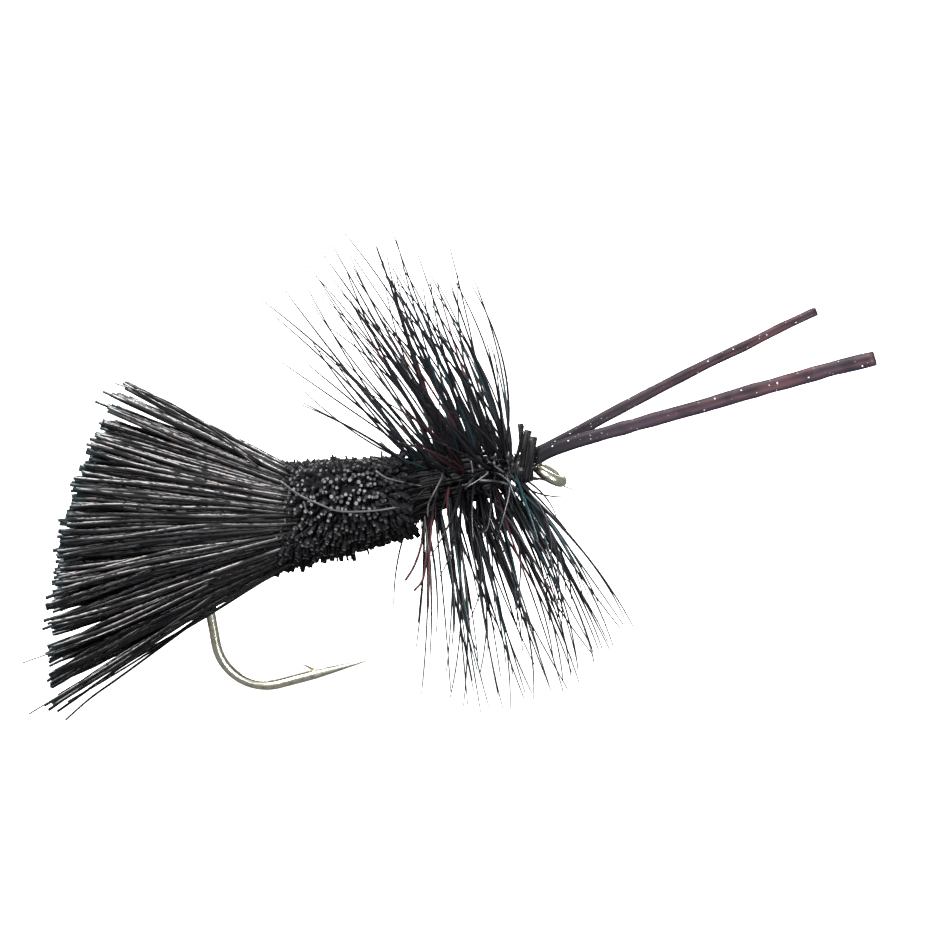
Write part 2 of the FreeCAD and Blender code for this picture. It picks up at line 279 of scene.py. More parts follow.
class Shop:
    """Makes the nodes of one material or sky."""

    GRAIN_SCALE = 2.0
    TONE_SPREAD = 97.0

    def __init__(self, owner: Material | bpy.types.World) -> None:
        """Empty the owner's node tree.

        Args:
            owner: The material or sky.
        """
        owner.use_nodes = True
        self.owner, self.tree = owner, owner.node_tree
        self.tree.nodes.clear()

    def node(self, kind: str, settings: dict, sockets: dict, out: int | str = 0) -> Value:
        """Add a node.

        Args:
            kind: Blender's type name of the node.
            settings: Properties that are set before the sockets; stops are a ramp's
                positions and colours, of which there are two or more.
            sockets: Values or numbers of its inputs, by name or place.
            out: Which output the result wraps.

        Returns:
            The wrapped output, which wraps nothing if the node has none.
        """
        made = self.tree.nodes.new(kind)
        for key, setting in settings.items():
            if key == "stops":
                elements = made.color_ramp.elements
                for position, _ in setting[2:]:
                    elements.new(position)
                for element, (position, colour) in zip(elements, setting):
                    element.position, element.color = position, (*colour, 1.0)
            else:
                setattr(made, key, setting)
        for key, given in sockets.items():
            socket = made.inputs[key]
            if isinstance(given, Value):
                self.tree.links.new(given.socket, socket)
            elif socket.type == "RGBA" and len(given) == 3:
                socket.default_value = (*given, 1.0)
            else:
                socket.default_value = given
        return Value(self, made.outputs[out] if made.outputs else None)

    def attribute(self, name: str) -> Value:
        """A number stored on the mesh."""
        return self.node("ShaderNodeAttribute", {"attribute_name": name}, {}, "Fac")

    def strand_map(self, axis: str) -> Value:
        """Part of the strand map: X is turns round it, 0 to 1, and Y millimetres along."""
        uv = self.node("ShaderNodeUVMap", {"uv_map": "strand"}, {})
        return self.node("ShaderNodeSeparateXYZ", {}, {0: uv}, axis)

    def noise(self, where: Value, scale: float, detail: float) -> Value:
        """Soft noise between 0 and 1."""
        sockets = {"Vector": where, "Scale": scale, "Detail": detail}
        return self.node("ShaderNodeTexNoise", {}, sockets)

    def dust(self, scale: float, detail: float = 2.0) -> Value:
        """Noise at a place in metres, at so many cells to the metre."""
        return self.noise(self.node("ShaderNodeTexCoord", {}, {}, "Object"), scale, detail)

    def grain(self, across: float, along: float, detail: float) -> Value:
        """Noise on a strand, which differs from strand to strand by their tone.

        Args:
            across: Scale of the pattern round the strand.
            along: Scale of the pattern along it, for each millimetre.
            detail: How many finer layers it has.

        Returns:
            The noise, 0 to 1.
        """
        parts = {
            "X": self.strand_map("X") * across,
            "Y": self.strand_map("Y") * along,
            "Z": self.attribute("tone") * self.TONE_SPREAD,
        }
        return self.noise(self.node("ShaderNodeCombineXYZ", {}, parts), self.GRAIN_SCALE, detail)

    def mix(self, factor: object, first: object, second: object) -> Value:
        """Colour between two colours."""
        sockets = {0: factor, 6: first, 7: second}
        return self.node("ShaderNodeMix", {"data_type": "RGBA"}, sockets, 2)

    def surface(
        self,
        colour: object,
        roughness: object,
        bump: tuple[Value, float, float],
        more: dict | None = None,
    ) -> Material:
        """Finish the material with a Principled shader.

        Args:
            colour: Its base colour.
            roughness: Its roughness.
            bump: Height, strength, and the full height's depth in millimetres.
            more: Other sockets of the shader.

        Returns:
            The material.
        """
        height, strength, depth = bump
        relief = {"Height": height, "Strength": strength, "Distance": depth * MM}
        normal = self.node("ShaderNodeBump", {}, relief)
        sockets = {"Base Color": colour, "Roughness": roughness, "Normal": normal, **(more or {})}
        shader = self.node("ShaderNodeBsdfPrincipled", {}, sockets)
        self.node("ShaderNodeOutputMaterial", {}, {"Surface": shader})
        return self.owner


# ---- finishes


@dataclass(frozen=True)
class Finish:
    """A finish, which becomes a material of its name."""

    name: str

    def material(self) -> Material:
        """The finish as a material."""
        return self.mixed(Shop(bpy.data.materials.new(self.name)))

    def mixed(self, shop: Shop) -> Material:
        """The material, once its nodes are in the shop's tree.

        Args:
            shop: A shop for the new material.

        Returns:
            The material.
        """
        raise NotImplementedError


@dataclass(frozen=True)
class DyedHair(Finish):
    """Black dyed deer hair: satin, with broken streaks of painted highlight along each hair.

    A painted highlight lies in one band round the hair, where a long and a short grain are
    both high, and has small orange glints painted into it. It is stronger on hairs of high
    tone, and weaker near the root. Lighter streaks of painted sheen run all along the hair.
    """

    dark: Colour = (0.005, 0.005, 0.006)
    # lighter colour of streaks all round each hair: painted sheen
    worn: Colour = (0.018, 0.017, 0.019)
    # colour of the painted highlight streaks on the lit band of each hair
    shine: Colour = (0.40, 0.39, 0.40)
    # orange of the small glints painted into the highlight
    rust: Colour = (0.34, 0.19, 0.12)
    teal: Colour = (0.008, 0.036, 0.042)
    band: Pair = (0.37, 0.60)
    tint: float = 0.5
    # how strong the painted highlight is
    crest: float = 1.0
    specular: float = 0.28
    gloss: float = 0.14
    depth: float = 0.035

    def mixed(self, shop: Shop) -> Material:
        """The material with this finish's nodes.

        Args:
            shop: A shop for the new material.

        Returns:
            The material.
        """
        streak = shop.grain(1.6, 0.35, 3.0)
        cells = shop.grain(3.0, 1.9, 3.0)
        glint = shop.grain(1.2, 1.3, 1.0)
        turns, along = shop.strand_map("X"), shop.attribute("along")
        broken = cells.above(0.46, 0.08)
        # painted highlight: a lighter band round each hair, broken along it by the grain
        painted_highlight_mask = turns.above(self.band[0], 0.03) - turns.above(self.band[1], 0.03)
        painted_highlight_mask = painted_highlight_mask * streak.above(0.46, 0.05) * broken
        painted_highlight_mask = painted_highlight_mask * (shop.attribute("tone").above(0.40, 0.40) + 0.28) * self.crest
        painted_highlight_mask = painted_highlight_mask * (along.above(0.2, 0.2) * 0.6 + 0.4)
        # colour of the painted highlight, with small orange painted glints
        pale = shop.mix(glint.above(0.63, 0.04) * self.tint, self.shine, self.rust)
        # base colour with lighter streaks of painted sheen along the hair
        colour = shop.mix(streak.above(0.58, 0.14), self.dark, self.worn)
        colour = shop.mix(along.above(0.96, 0.03) * self.tint * 0.6, colour, self.teal)
        dull = 1 - streak.above(0.47, 0.07) * broken
        return shop.surface(
            shop.mix(painted_highlight_mask, colour, pale),
            dull * 0.45 + cells * 0.25 + self.gloss,
            (cells + streak, 0.6, self.depth),
            {"Specular IOR Level": self.specular},
        )


@dataclass(frozen=True)
class HairPith(Finish):
    """Cut ends of hairs: pale pith on some, dyed through on others."""

    name: str = "cut_hair_pith"
    dyed: Colour = (0.014, 0.014, 0.016)
    pale: Colour = (0.20, 0.196, 0.205)
    share_dyed: float = 0.33

    def mixed(self, shop: Shop) -> Material:
        """The material with this finish's nodes.

        Args:
            shop: A shop for the new material.

        Returns:
            The material.
        """
        pores = shop.dust(9000.0)
        pale = shop.attribute("tone").above(self.share_dyed, 0.35) * (pores * 0.9 + 0.4)
        colour = shop.mix(pale, self.dyed, self.pale)
        return shop.surface(colour, pores * 0.2 + 0.7, (pores, 0.5, 0.02))


@dataclass(frozen=True)
class HackleBarb(Finish):
    """Black dyed cock hackle: fine glossy barbs, a few of them dark red or blue-green."""

    name: str = "dyed_cock_hackle"
    black: Colour = (0.009, 0.009, 0.012)
    red: Colour = (0.060, 0.017, 0.019)
    green: Colour = (0.012, 0.040, 0.048)
    rib: Colour = (0.05, 0.05, 0.055)

    def mixed(self, shop: Shop) -> Material:
        """The material with this finish's nodes.

        Args:
            shop: A shop for the new material.

        Returns:
            The material.
        """
        ribs = shop.grain(1.0, 7.0, 2.0)
        stops = [(0.05, self.green), (0.22, self.black), (0.92, self.black), (0.96, self.red)]
        colour = shop.node("ShaderNodeValToRGB", {"stops": stops}, {0: shop.attribute("tone")})
        return shop.surface(
            shop.mix(ribs.above(0.66, 0.08) * 0.5, colour, self.rib),
            ribs * 0.3 + 0.28,
            (ribs, 0.4, 0.01),
            {"Specular IOR Level": 0.3},
        )


@dataclass(frozen=True)
class FeatherStem(Finish):
    """Stem of a feather: horn with fine lengthwise lines, some of them pale with wear."""

    deep: Colour = (0.035, 0.033, 0.036)
    light: Colour = (0.22, 0.21, 0.22)
    # grain level above which the stem's lines are pale with wear
    worn: float = 0.5
    specular: float = 0.4

    def mixed(self, shop: Shop) -> Material:
        """The material with this finish's nodes.

        Args:
            shop: A shop for the new material.

        Returns:
            The material.
        """
        lines = shop.grain(4.0, 0.35, 3.0)
        return shop.surface(
            shop.mix(lines.above(self.worn, 0.2), self.deep, self.light),
            lines * 0.25 + 0.28,
            (lines, 0.5, 0.02),
            {"Specular IOR Level": self.specular},
        )


@dataclass(frozen=True)
class StrippedStem(Finish):
    """Stripped, dyed stem: brown-purple horn, streaked and flecked with white."""

    name: str = "stripped_stem"
    root: Colour = (0.011, 0.011, 0.014)
    horn: Colour = (0.040, 0.031, 0.042)
    rust: Colour = (0.095, 0.042, 0.046)
    edge: Colour = (0.040, 0.034, 0.090)
    fleck: Colour = (0.78, 0.77, 0.80)

    def mixed(self, shop: Shop) -> Material:
        """The material with this finish's nodes.

        Args:
            shop: A shop for the new material.

        Returns:
            The material.
        """
        along, turns = shop.attribute("along"), shop.strand_map("X")
        lines = shop.grain(6.0, 0.16, 4.0)
        patches = shop.grain(1.6, 0.6, 3.0)
        flecks = shop.grain(8.0, 4.2, 0.0)
        low_edge = turns.above(0.40, 0.07) - turns.above(0.56, 0.06)
        reddened = lines.above(0.52, 0.16) * along.above(0.45, 0.4) * 0.85
        colour = shop.mix(along.above(0.18, 0.16), self.root, self.horn)
        colour = shop.mix(reddened, colour, self.rust)
        colour = shop.mix(patches.above(0.56, 0.12) * 0.5, colour, self.root)
        colour = shop.mix(low_edge * along.above(0.2, 0.2) * 0.8, colour, self.edge)
        return shop.surface(
            shop.mix(flecks.above(0.81, 0.025), colour, self.fleck),
            lines * 0.3 + 0.35,
            (lines + patches * 0.6, 0.6, 0.04),
            {"Specular IOR Level": 0.22},
        )


@dataclass(frozen=True)
class WaxedThread(Finish):
    """Black waxed tying thread."""

    name: str = "waxed_thread"
    black: Colour = (0.010, 0.010, 0.011)
    lint: Colour = (0.06, 0.06, 0.062)

    def mixed(self, shop: Shop) -> Material:
        """The material with this finish's nodes.

        Args:
            shop: A shop for the new material.

        Returns:
            The material.
        """
        fibres = shop.dust(14000.0, 3.0)
        colour = shop.mix(fibres.above(0.6, 0.1), self.black, self.lint)
        return shop.surface(colour, fibres * 0.3 + 0.3, (fibres, 0.4, 0.01))


@dataclass(frozen=True)
class Varnish(Finish):
    """Head varnish over black thread."""

    name: str = "clear_head_varnish"
    black: Colour = (0.006, 0.006, 0.007)
    haze: Colour = (0.03, 0.03, 0.033)

    def mixed(self, shop: Shop) -> Material:
        """The material with this finish's nodes.

        Args:
            shop: A shop for the new material.

        Returns:
            The material.
        """
        ripple = shop.dust(5000.0)
        return shop.surface(
            shop.mix(ripple * 0.4, self.black, self.haze),
            ripple * 0.15 + 0.08,
            (ripple, 0.4, 0.03),
            {"Coat Weight": 1.0, "Coat Roughness": 0.06},
        )


@dataclass(frozen=True)
class PlatedWire(Finish):
    """Bright plated hook wire with drawing lines and small tarnished spots."""

    name: str = "plated_hook_wire"
    bright: Colour = (0.98, 0.95, 0.78)
    tarnish: Colour = (0.42, 0.36, 0.18)
    gloss: float = 0.10

    def mixed(self, shop: Shop) -> Material:
        """The material with this finish's nodes.

        Args:
            shop: A shop for the new material.

        Returns:
            The material.
        """
        lines = shop.grain(8.0, 0.4, 3.0)
        spots = shop.grain(1.6, 1.5, 4.0)
        return shop.surface(
            shop.mix(spots.above(0.56, 0.08) * 0.5, self.bright, self.tarnish),
            lines * 0.16 + spots * 0.12 + self.gloss,
            (lines * 0.6 + spots, 0.3, 0.02),
            {"Metallic": 1.0},
        )


@dataclass(frozen=True)
class StudioPaper(Finish):
    """Plain pale floor, lit from within so that it stays even."""

    name: str = "studio_paper"
    white: Colour = (0.9, 0.9, 0.9)
    light: Colour = (1.0, 1.0, 1.0)
    glow: float = 0.85

    def mixed(self, shop: Shop) -> Material:
        """The material with this finish's nodes.

        Args:
            shop: A shop for the new material.

        Returns:
            The material.
        """
        glow = {"Emission Color": self.light, "Emission Strength": self.glow}
        return shop.surface(self.white, 0.9, (shop.dust(3000.0), 0.05, 0.02), glow)


# ---- shapes


@dataclass
class Shape:
    """Closed faces and the numbers stored on them, ready to become one mesh.

    Attributes:
        points: Points in the hook's frame, of shape (points, 3).
        quads: Four-sided faces, as indexes of points.
        caps: Three-sided flat faces that close the ends.
        quad_uv: UV of each quad's corners, of shape (quads, 4, 2).
        cap_uv: UV of each cap face's corners, of shape (caps, 3, 2).
        cut: Whether each cap face is a cut end.
        tone: One number from 0 to 1 for each point, the same all over a strand.
        along: How far along its strand each point is, 0 to 1.
    """

    points: Array
    quads: Array
    caps: Array
    quad_uv: Array
    cap_uv: Array
    cut: Array
    tone: Array
    along: Array

    @classmethod
    def joined(cls, shapes: list["Shape"]) -> "Shape":
        """Several shapes as one; indexes move up by the points before them.

        Args:
            shapes: The shapes.

        Returns:
            The one shape.
        """
        before = np.cumsum([0] + [len(shape.points) for shape in shapes[:-1]])
        parts = {key: [getattr(shape, key) for shape in shapes] for key in cls.__annotations__}
        for key in ("quads", "caps"):
            parts[key] = [faces + skip for faces, skip in zip(parts[key], before)]
        return cls(**{key: np.concatenate(part) for key, part in parts.items()})

    def mesh(self, name: str) -> bpy.types.Mesh:
        """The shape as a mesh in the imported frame's metres.

        Args:
            name: Name of the mesh.

        Returns:
            The mesh, with UV map strand and numbers tone and along; cut ends have
            material index 1.
        """
        mesh = bpy.data.meshes.new(name)
        faces = self.quads.tolist() + self.caps.tolist()
        mesh.from_pydata(HOOK.place(self.points), [], faces)
        flat = np.zeros(len(self.quads), int)
        is_cap = np.concatenate([flat, np.ones(len(self.caps), int)]).astype(bool)
        mesh.polygons.foreach_set("use_smooth", ~is_cap)
        mesh.polygons.foreach_set("material_index", np.concatenate([flat, self.cut.astype(int)]))
        uv = np.concatenate([self.quad_uv.ravel(), self.cap_uv.ravel()]).astype(np.float32)
        mesh.uv_layers.new(name="strand").data.foreach_set("uv", uv)
        for key in ("tone", "along"):
            numbers = mesh.attributes.new(key, "FLOAT", "POINT")
            numbers.data.foreach_set("value", getattr(self, key).astype(np.float32))
        return mesh


def round_section(sides: int, flat: float = 1.0) -> Array:
    """Section of a strand: a circle, or an oval whose second half-width is flat."""
    angle = np.arange(sides) * (TURN / sides)
    return np.stack([np.cos(angle), flat * np.sin(angle)], -1)


def strands(
    lines: Array,
    radii: Array,
    tones: Array,
    section: Array,
    hint: Array | None = None,
    pith: float = 0.0,
) -> Shape:
    """Any number of closed strands.

    A strand is its section carried along its centre line: corner j of station k is
    line[k] + radii[k] (section[j, 0] side + section[j, 1] up), where side is the line's
    direction crossed with the hint, and up is that direction crossed with side.

    Args:
        lines: Centre lines, of shape (strands, stations, 3).
        radii: Radii, of shape (strands, stations), or (strands, stations, 2) for a
            side and an up radius.
        tones: One number from 0 to 1 for each strand.
        section: Corners of the section, of shape (sides, 2).
        hint: Direction, or one for each strand, that is never along a line. Without
            it each strand takes the axis that is least along it.
        pith: Radius of the pale disc on the cut end, over the strand's, or 0 for none.

    Returns:
        The shape.
    """
    length = np.linalg.norm(np.diff(lines, axis=1), axis=-1)
    length = np.concatenate([np.zeros((len(lines), 1)), np.cumsum(length, 1)], 1)
    ahead = unit(np.gradient(lines, axis=1))
    if hint is None:
        hint = np.eye(3)[np.argmin(np.abs(ahead.mean(1)), -1)][:, None, :]
    side = unit(np.cross(ahead, np.broadcast_to(hint, ahead.shape)))
    up = np.cross(ahead, side)
    if radii.ndim == 2:
        radii = np.repeat(radii[..., None], 2, -1)
    radii = radii[:, :, None, :] * section
    rings = lines[:, :, None, :] + radii[..., :1] * side[:, :, None, :]
    rings = rings + radii[..., 1:] * up[:, :, None, :]
    if pith:
        middle = lines[:, -1:, None, :]
        rings = np.concatenate([rings, middle + (rings[:, -1:] - middle) * pith], 1)
        length = np.concatenate([length, length[:, -1:]], 1)

    count, stations, sides = rings.shape[:3]
    index = np.arange(count * stations * sides).reshape(count, stations, sides)
    after = np.roll(index, -1, 2)
    quads = np.stack([index[:, :-1], after[:, :-1], after[:, 1:], index[:, 1:]], -1)
    ends = count * stations * sides + np.arange(count * 2).reshape(count, 2, 1)
    first, last = (np.broadcast_to(ends[:, end], (count, sides)) for end in (0, 1))
    start_cap = np.stack([first, after[:, 0], index[:, 0]], -1)
    end_cap = np.stack([last, index[:, -1], after[:, -1]], -1)

    quad_uv = np.zeros((count, stations - 1, sides, 4, 2))
    quad_uv[..., 0] = (np.arange(sides)[:, None] + np.array([0, 1, 1, 0])) / sides
    quad_uv[..., :2, 1] = length[:, :-1, None, None]
    quad_uv[..., 2:, 1] = length[:, 1:, None, None]
    cap_uv = np.zeros((2, count, sides, 3, 2))
    cap_uv[..., 1] = length.T[[0, -1], :, None, None]

    portion = length / np.maximum(length[:, -1:], 1e-9)
    return Shape(
        np.concatenate([rings.reshape(-1, 3), lines[:, [0, -1]].reshape(-1, 3)]),
        quads.reshape(-1, 4),
        np.concatenate([start_cap.reshape(-1, 3), end_cap.reshape(-1, 3)]),
        quad_uv.reshape(-1, 4, 2),
        cap_uv.reshape(-1, 3, 2),
        np.repeat([False, bool(pith)], count * sides),
        np.concatenate([np.repeat(tones, stations * sides), np.repeat(tones, 2)]),
        np.concatenate([np.repeat(portion.ravel(), sides), np.tile([0.0, 1.0], count)]),
    )


def widths(each: tuple[float, ...], along: Array) -> Array:
    """Radii of several strands: each one's own radius times a share at each station."""
    return np.array(each)[:, None] * along


def strand(
    line: Array,
    radius: Array,
    tone: float,
    section: Array,
    hint: Array | None = Y,
) -> Shape:
    """One closed strand, made as strands makes many."""
    return strands(line[None], radius[None], np.array([tone]), section, hint)


def turned(profile: list[Pair], axis_z: float, sides: int, tone: float) -> Shape:
    """Solid of revolution about a line parallel to the shank.

    It is one strand whose centre line is the axis and whose radius follows the profile.

    Args:
        profile: Stations (x, radius) in order of x.
        axis_z: Height of the axis.
        sides: Faces round it.
        tone: Number stored on it.

    Returns:
        The shape.
    """
    stations = np.array(profile)
    line = stations[:, :1] * X + axis_z * Z
    return strand(line, stations[:, 1], tone, round_section(sides))


def wound(
    start_x: float, end_x: float, pitch: float, radius: Pair, thread_r: float, flat: float
) -> Shape:
    """Thread or quill wound round the shank.

    Its line is a helix: x grows evenly with the angle, by one pitch each turn, at a
    distance from the shank that runs evenly from the first radius to the second.

    Args:
        start_x: Where the winding starts.
        end_x: Where it ends.
        pitch: Advance for each turn.
        radius: Distance from the shank's axis to the thread's, at the start and end.
        thread_r: Radius of the thread.
        flat: Its thickness over its width.

    Returns:
        The shape.
    """
    turns = abs(end_x - start_x) / pitch
    along = np.linspace(0, 1, int(turns * 26))
    line = between(start_x, end_x, along)[:, None] * X
    line = line + between(*radius, along)[:, None] * around(TURN * turns * along)
    return strand(line, np.full(len(line), thread_r), 0.4, round_section(7, flat), X)


def show(
    name: str,
    shape: Shape,
    finishes: list[Material],
    nodes: list[str],
    bends: tuple[Body, Array, Array] | None = None,
) -> None:
    """Put a shape in the scene as a piece of the fly.

    Args:
        name: Name of the piece.
        shape: Its shape.
        finishes: Its materials; the second is for cut ends.
        nodes: CAD nodes that it stands for.
        bends: For a piece that springs from the fly, the body that its end would follow and
        the points, in metres, between which it would bend; only whether it is given is
        used, and such a piece gets its transform baked in and rides on no body.
    """
    mesh = shape.mesh(name)
    for finish in finishes:
        mesh.materials.append(finish)
    piece = bpy.data.objects.new(name, mesh)
    bpy.context.scene.collection.objects.link(piece)
    if bends:
        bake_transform(piece)
    else:
        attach(piece, Body.FLY.value)
    if nodes:
        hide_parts(*nodes)
    log.info("%s: %d triangles", name, 2 * len(shape.quads) + len(shape.caps))


# ---- hook


@dataclass
class Hook:
    """Bent, plated wire: ring eye, shank, bend, barb and hollow point."""

    wire_r: float = 0.205
    bend_r: float = 3.7
    throat_r: float = 2.1
    spear_rise: float = 5.4
    spear_length: float = 3.78
    point_length: float = 2.3
    tip_r: float = 0.012
    neck_x: float = -0.6
    ring_r: float = 0.51
    ring_wire_r: float = 0.23
    ring_shift: Point = (-0.05, 0.0, -0.14)
    ring_turns: Pair = (-6.0, 341.0)
    ring_end: tuple[float, ...] = (0.97, 0.9, 0.78, 0.55)
    barb_from_tip: float = 2.2
    barb_line: tuple[Pair, ...] = ((0.35, 0.04), (0.0, 0.16), (-0.46, 0.56))
    barb_r: Pair = (0.16, 0.02)

    def throat(self) -> Array:
        """Middle of the throat's arc."""
        return HOOK.heel + self.throat_r * X + (HOOK.heel[2] + self.bend_r) * Z

    def tip(self) -> tuple[Array, Array]:
        """The point's tip and the direction it points in.

        Returns:
            The tip's place and a unit vector.
        """
        forward = heading(self.spear_rise)
        start = self.throat() + self.throat_r * heading(270 + self.spear_rise)
        return start + forward * self.spear_length, forward

    def ring_middle(self) -> Array:
        """Middle of the eye's ring."""
        return np.array(self.ring_shift) - HOOK.EYE_DROP * Z

    def wire(self) -> Shape:
        """The wire from its point to the eye.

        Straight spear, arc of the throat, straight heel, arc of the bend, straight
        shank, then the neck, which drops to the back of the ring.

        Returns:
            The wire's shape.
        """
        tip, forward = self.tip()
        bend = np.array([HOOK.heel[0] + self.bend_r, 0.0, -self.bend_r])
        ring_back = self.ring_middle() - self.ring_r * np.cross(Y, HOOK.eye_normal)
        back = np.linspace(0, self.spear_length, 50, endpoint=False)
        shank = np.linspace(bend[0], self.neck_x, 60)[1:]
        neck = np.linspace(0, 1, 9)[1:, None]
        line = np.concatenate(
            [
                tip - forward * back[:, None],
                arc(self.throat(), self.throat_r, 270 + self.spear_rise, 180, 40),
                arc(bend, self.bend_r, 180, 90, 50),
                shank[:, None] * X,
                between(self.neck_x * X, ring_back, neck),
            ]
        )
        radius = np.full(len(line), self.wire_r)
        taper = np.clip(back / self.point_length, 0, 1) ** 0.8
        radius[: len(back)] = between(self.tip_r, self.wire_r, taper)
        radius[-len(neck) :] = between(self.wire_r, self.ring_wire_r, neck[:, 0])
        return strand(line, radius, 0.5, round_section(24))

    def ring(self) -> Shape:
        """The eye: a circle of wire about the eye's middle, nearly closed.

        Returns:
            The ring's shape.
        """
        way = np.cross(Y, HOOK.eye_normal)
        turn = np.radians(np.linspace(*self.ring_turns, 96))[:, None]
        line = self.ring_middle() - self.ring_r * (np.cos(turn) * way + np.sin(turn) * Y)
        radius = np.full(len(line), self.ring_wire_r)
        radius[-len(self.ring_end) :] *= np.array(self.ring_end)
        return strand(line, radius, 0.5, round_section(20), HOOK.eye_normal)

    def barb(self) -> Shape:
        """The barb: a sliver raised off the wire, pointing away from the tip.

        Returns:
            The barb's shape.
        """
        tip, forward = self.tip()
        up = heading(90 + self.spear_rise)
        root = tip - forward * self.barb_from_tip
        path = tuple(tuple(root + forward * ahead + up * high) for ahead, high in self.barb_line)
        radius = between(*self.barb_r, np.linspace(0, 1, 10) ** 1.2)
        return strand(through(path, 10), radius, 0.4, round_section(10, 0.6))

    def build(self) -> None:
        """Make the hook."""
        shape = Shape.joined([self.wire(), self.ring(), self.barb()])
        show("hook_wire", shape, [PlatedWire().material()], ["hook"])


# ---- tail


@dataclass
class TailFan:
    """Hair left long behind the body: a flared bundle whose ends are cut to one curve.

    A hair's place in the bundle is (a, b) in the unit disc, a across and b up. Behind
    the front plane its line is y = half a + spread a s and z = axis + half b + slope(b)
    s at a distance s back, where slope runs evenly from the bottom's to the top's. Its
    place drifts on the way back: towards its tuft's middle, and at the upper and lower
    edges also to the nearest of some even layers, which tilt by the comb.
    """

    hairs: int = 1130
    tufts: int = 150
    stations: int = 14
    hair_r: float = 0.09
    front_x: float = -11.14
    root_x: float = -10.55
    axis_z: float = -0.17
    half: Pair = (2.15, 2.22)
    top_slope: float = math.tan(math.radians(37.3))
    bottom_slope: float = -math.tan(math.radians(21.8))
    spread: float = math.tan(math.radians(17.0))
    cut_top: Pair = (-16.5, 6.2)
    cut_bottom: Pair = (-21.55, -5.5)
    cut_bulge: float = 0.8
    cut_slant: float = 0.23
    gather: float = 0.5
    layer: float = 0.125
    comb: float = 0.16
    edge: Pair = (0.42, 0.25)
    drift: float = 1.4
    jitter: float = 0.02
    ragged: Pair = (0.09, 0.11)
    long_share: float = 0.012
    bow: Point = (0.05, 0.13, 0.05)
    stray_paths: tuple[Path, ...] = (
        ((-11.6, -1.2, 2.3), (-13.6, -1.2, 4.3), (-15.1, -1.0, 5.55), (-16.9, -0.9, 6.5)),
        ((-11.7, -1.6, 2.2), (-13.1, -1.5, 3.75), (-14.4, -1.4, 4.8), (-15.0, -1.3, 5.3)),
        ((-14.5, -0.6, -3.5), (-18.6, -0.9, -5.55), (-20.2, -0.9, -6.35), (-21.4, -0.9, -7.1)),
        ((-14.5, -3.0, -2.0), (-18.5, -3.7, -3.0), (-22.5, -4.0, -3.7)),
        ((-14.5, -2.6, -2.6), (-18.5, -3.4, -4.3), (-22.6, -3.8, -5.9)),
        ((-14.0, -0.5, -3.2), (-17.0, -0.6, -4.7), (-19.5, -0.7, -5.75), (-21.2, -0.7, -6.4)),
    )
    stray_r: tuple[float, ...] = (0.05, 0.045, 0.06, 0.05, 0.055, 0.06)

    def at(self, a: Array, b: Array, x: Array) -> Array:
        """Points of the bundle at places (a, b) and stations x.

        Args:
            a: Places across the bundle, -1 to 1.
            b: Places up it, -1 to 1.
            x: Stations along the shank.

        Returns:
            The points, with one axis more than the places.
        """
        back = self.front_x - x
        y = self.half[0] * a + self.spread * a * back
        slope = between(self.bottom_slope, self.top_slope, (b + 1) / 2)
        z = self.axis_z + self.half[1] * b + slope * back
        return np.stack([x, y, z], -1)

    def cut_x(self, a: Array, b: Array) -> Array:
        """Where hairs at places (a, b) meet the curved cut across their ends.

        The cut is a cylinder, seen end on as an arc through the cut's top and bottom;
        across the fan it falls by the slant. The hair's straight line meets it where a
        quadratic is zero.

        Args:
            a: Places across the bundle.
            b: Places up it.

        Returns:
            The x of each hair's end.
        """
        top, bottom = (np.array([p[0], 0.0, p[1]]) for p in (self.cut_top, self.cut_bottom))
        chord = top - bottom
        radius = chord @ chord / (8 * self.cut_bulge) + self.cut_bulge / 2
        inward = unit(np.cross(Y, chord))
        centre = (top + bottom) / 2 + inward * (radius - self.cut_bulge)
        start = self.at(a, b, np.full_like(a, self.front_x))
        way = self.at(a, b, np.full_like(a, self.front_x - 1.0)) - start
        start = start - centre
        for line in (start, way):
            line[:, 2] += self.cut_slant * line[:, 1]
            line[:, 1] = 0.0
        p = (way * start).sum(-1) / (way * way).sum(-1)
        q = ((start * start).sum(-1) - radius**2) / (way * way).sum(-1)
        return self.front_x + p - np.sqrt(p * p - q)

    def bundle(self) -> Shape:
        """The hairs: a sunflower pattern of roots, drifting ends, a sway and a bow.

        Returns:
            The hairs' shape.
        """
        n, tufts, jitter = self.hairs, self.tufts, self.jitter
        rng = np.random.default_rng(11)
        k, j = np.arange(n), np.arange(tufts)
        radius = np.sqrt((k + 0.5) / n)
        a, b = radius * np.cos(k * GOLDEN), radius * np.sin(k * GOLDEN)
        a, b = (p + rng.normal(0, jitter, n) for p in (a, b))
        middles = np.stack([np.cos(j * GOLDEN + 0.4), np.sin(j * GOLDEN + 0.4)], -1)
        middles = middles * (0.985 * np.sqrt((j + 0.5) / tufts))[:, None]
        middles = middles + rng.normal(0, jitter, (tufts, 2))
        gaps = (a[:, None] - middles[:, 0]) ** 2 + (b[:, None] - middles[:, 1]) ** 2
        tuft = np.argmin(gaps, 1)
        pull = self.gather * rng.uniform(0.5, 1.2, n)
        end_a = between(a, middles[tuft, 0], pull) + rng.normal(0, jitter, n)
        height = b + self.comb * a
        edge = np.clip((np.abs(height) - self.edge[0]) / self.edge[1], 0, 1)
        layers = np.round(height / self.layer) * self.layer - self.comb * end_a
        upper = b > 0
        end_b = between(b, middles[tuft, 1], pull)
        end_b = between(end_b, layers, np.where(upper, 0.97, 0.75) * edge)
        end_b = end_b + rng.normal(0, 0.012, n)
        ragged = rng.normal(0, self.ragged[0], n) + rng.normal(0, self.ragged[1], tufts)[tuft]
        left_long = np.where(rng.random(n) < self.long_share, rng.uniform(0.2, 0.6, n), 0)
        end_x = self.cut_x(end_a, end_b) - (ragged + left_long)

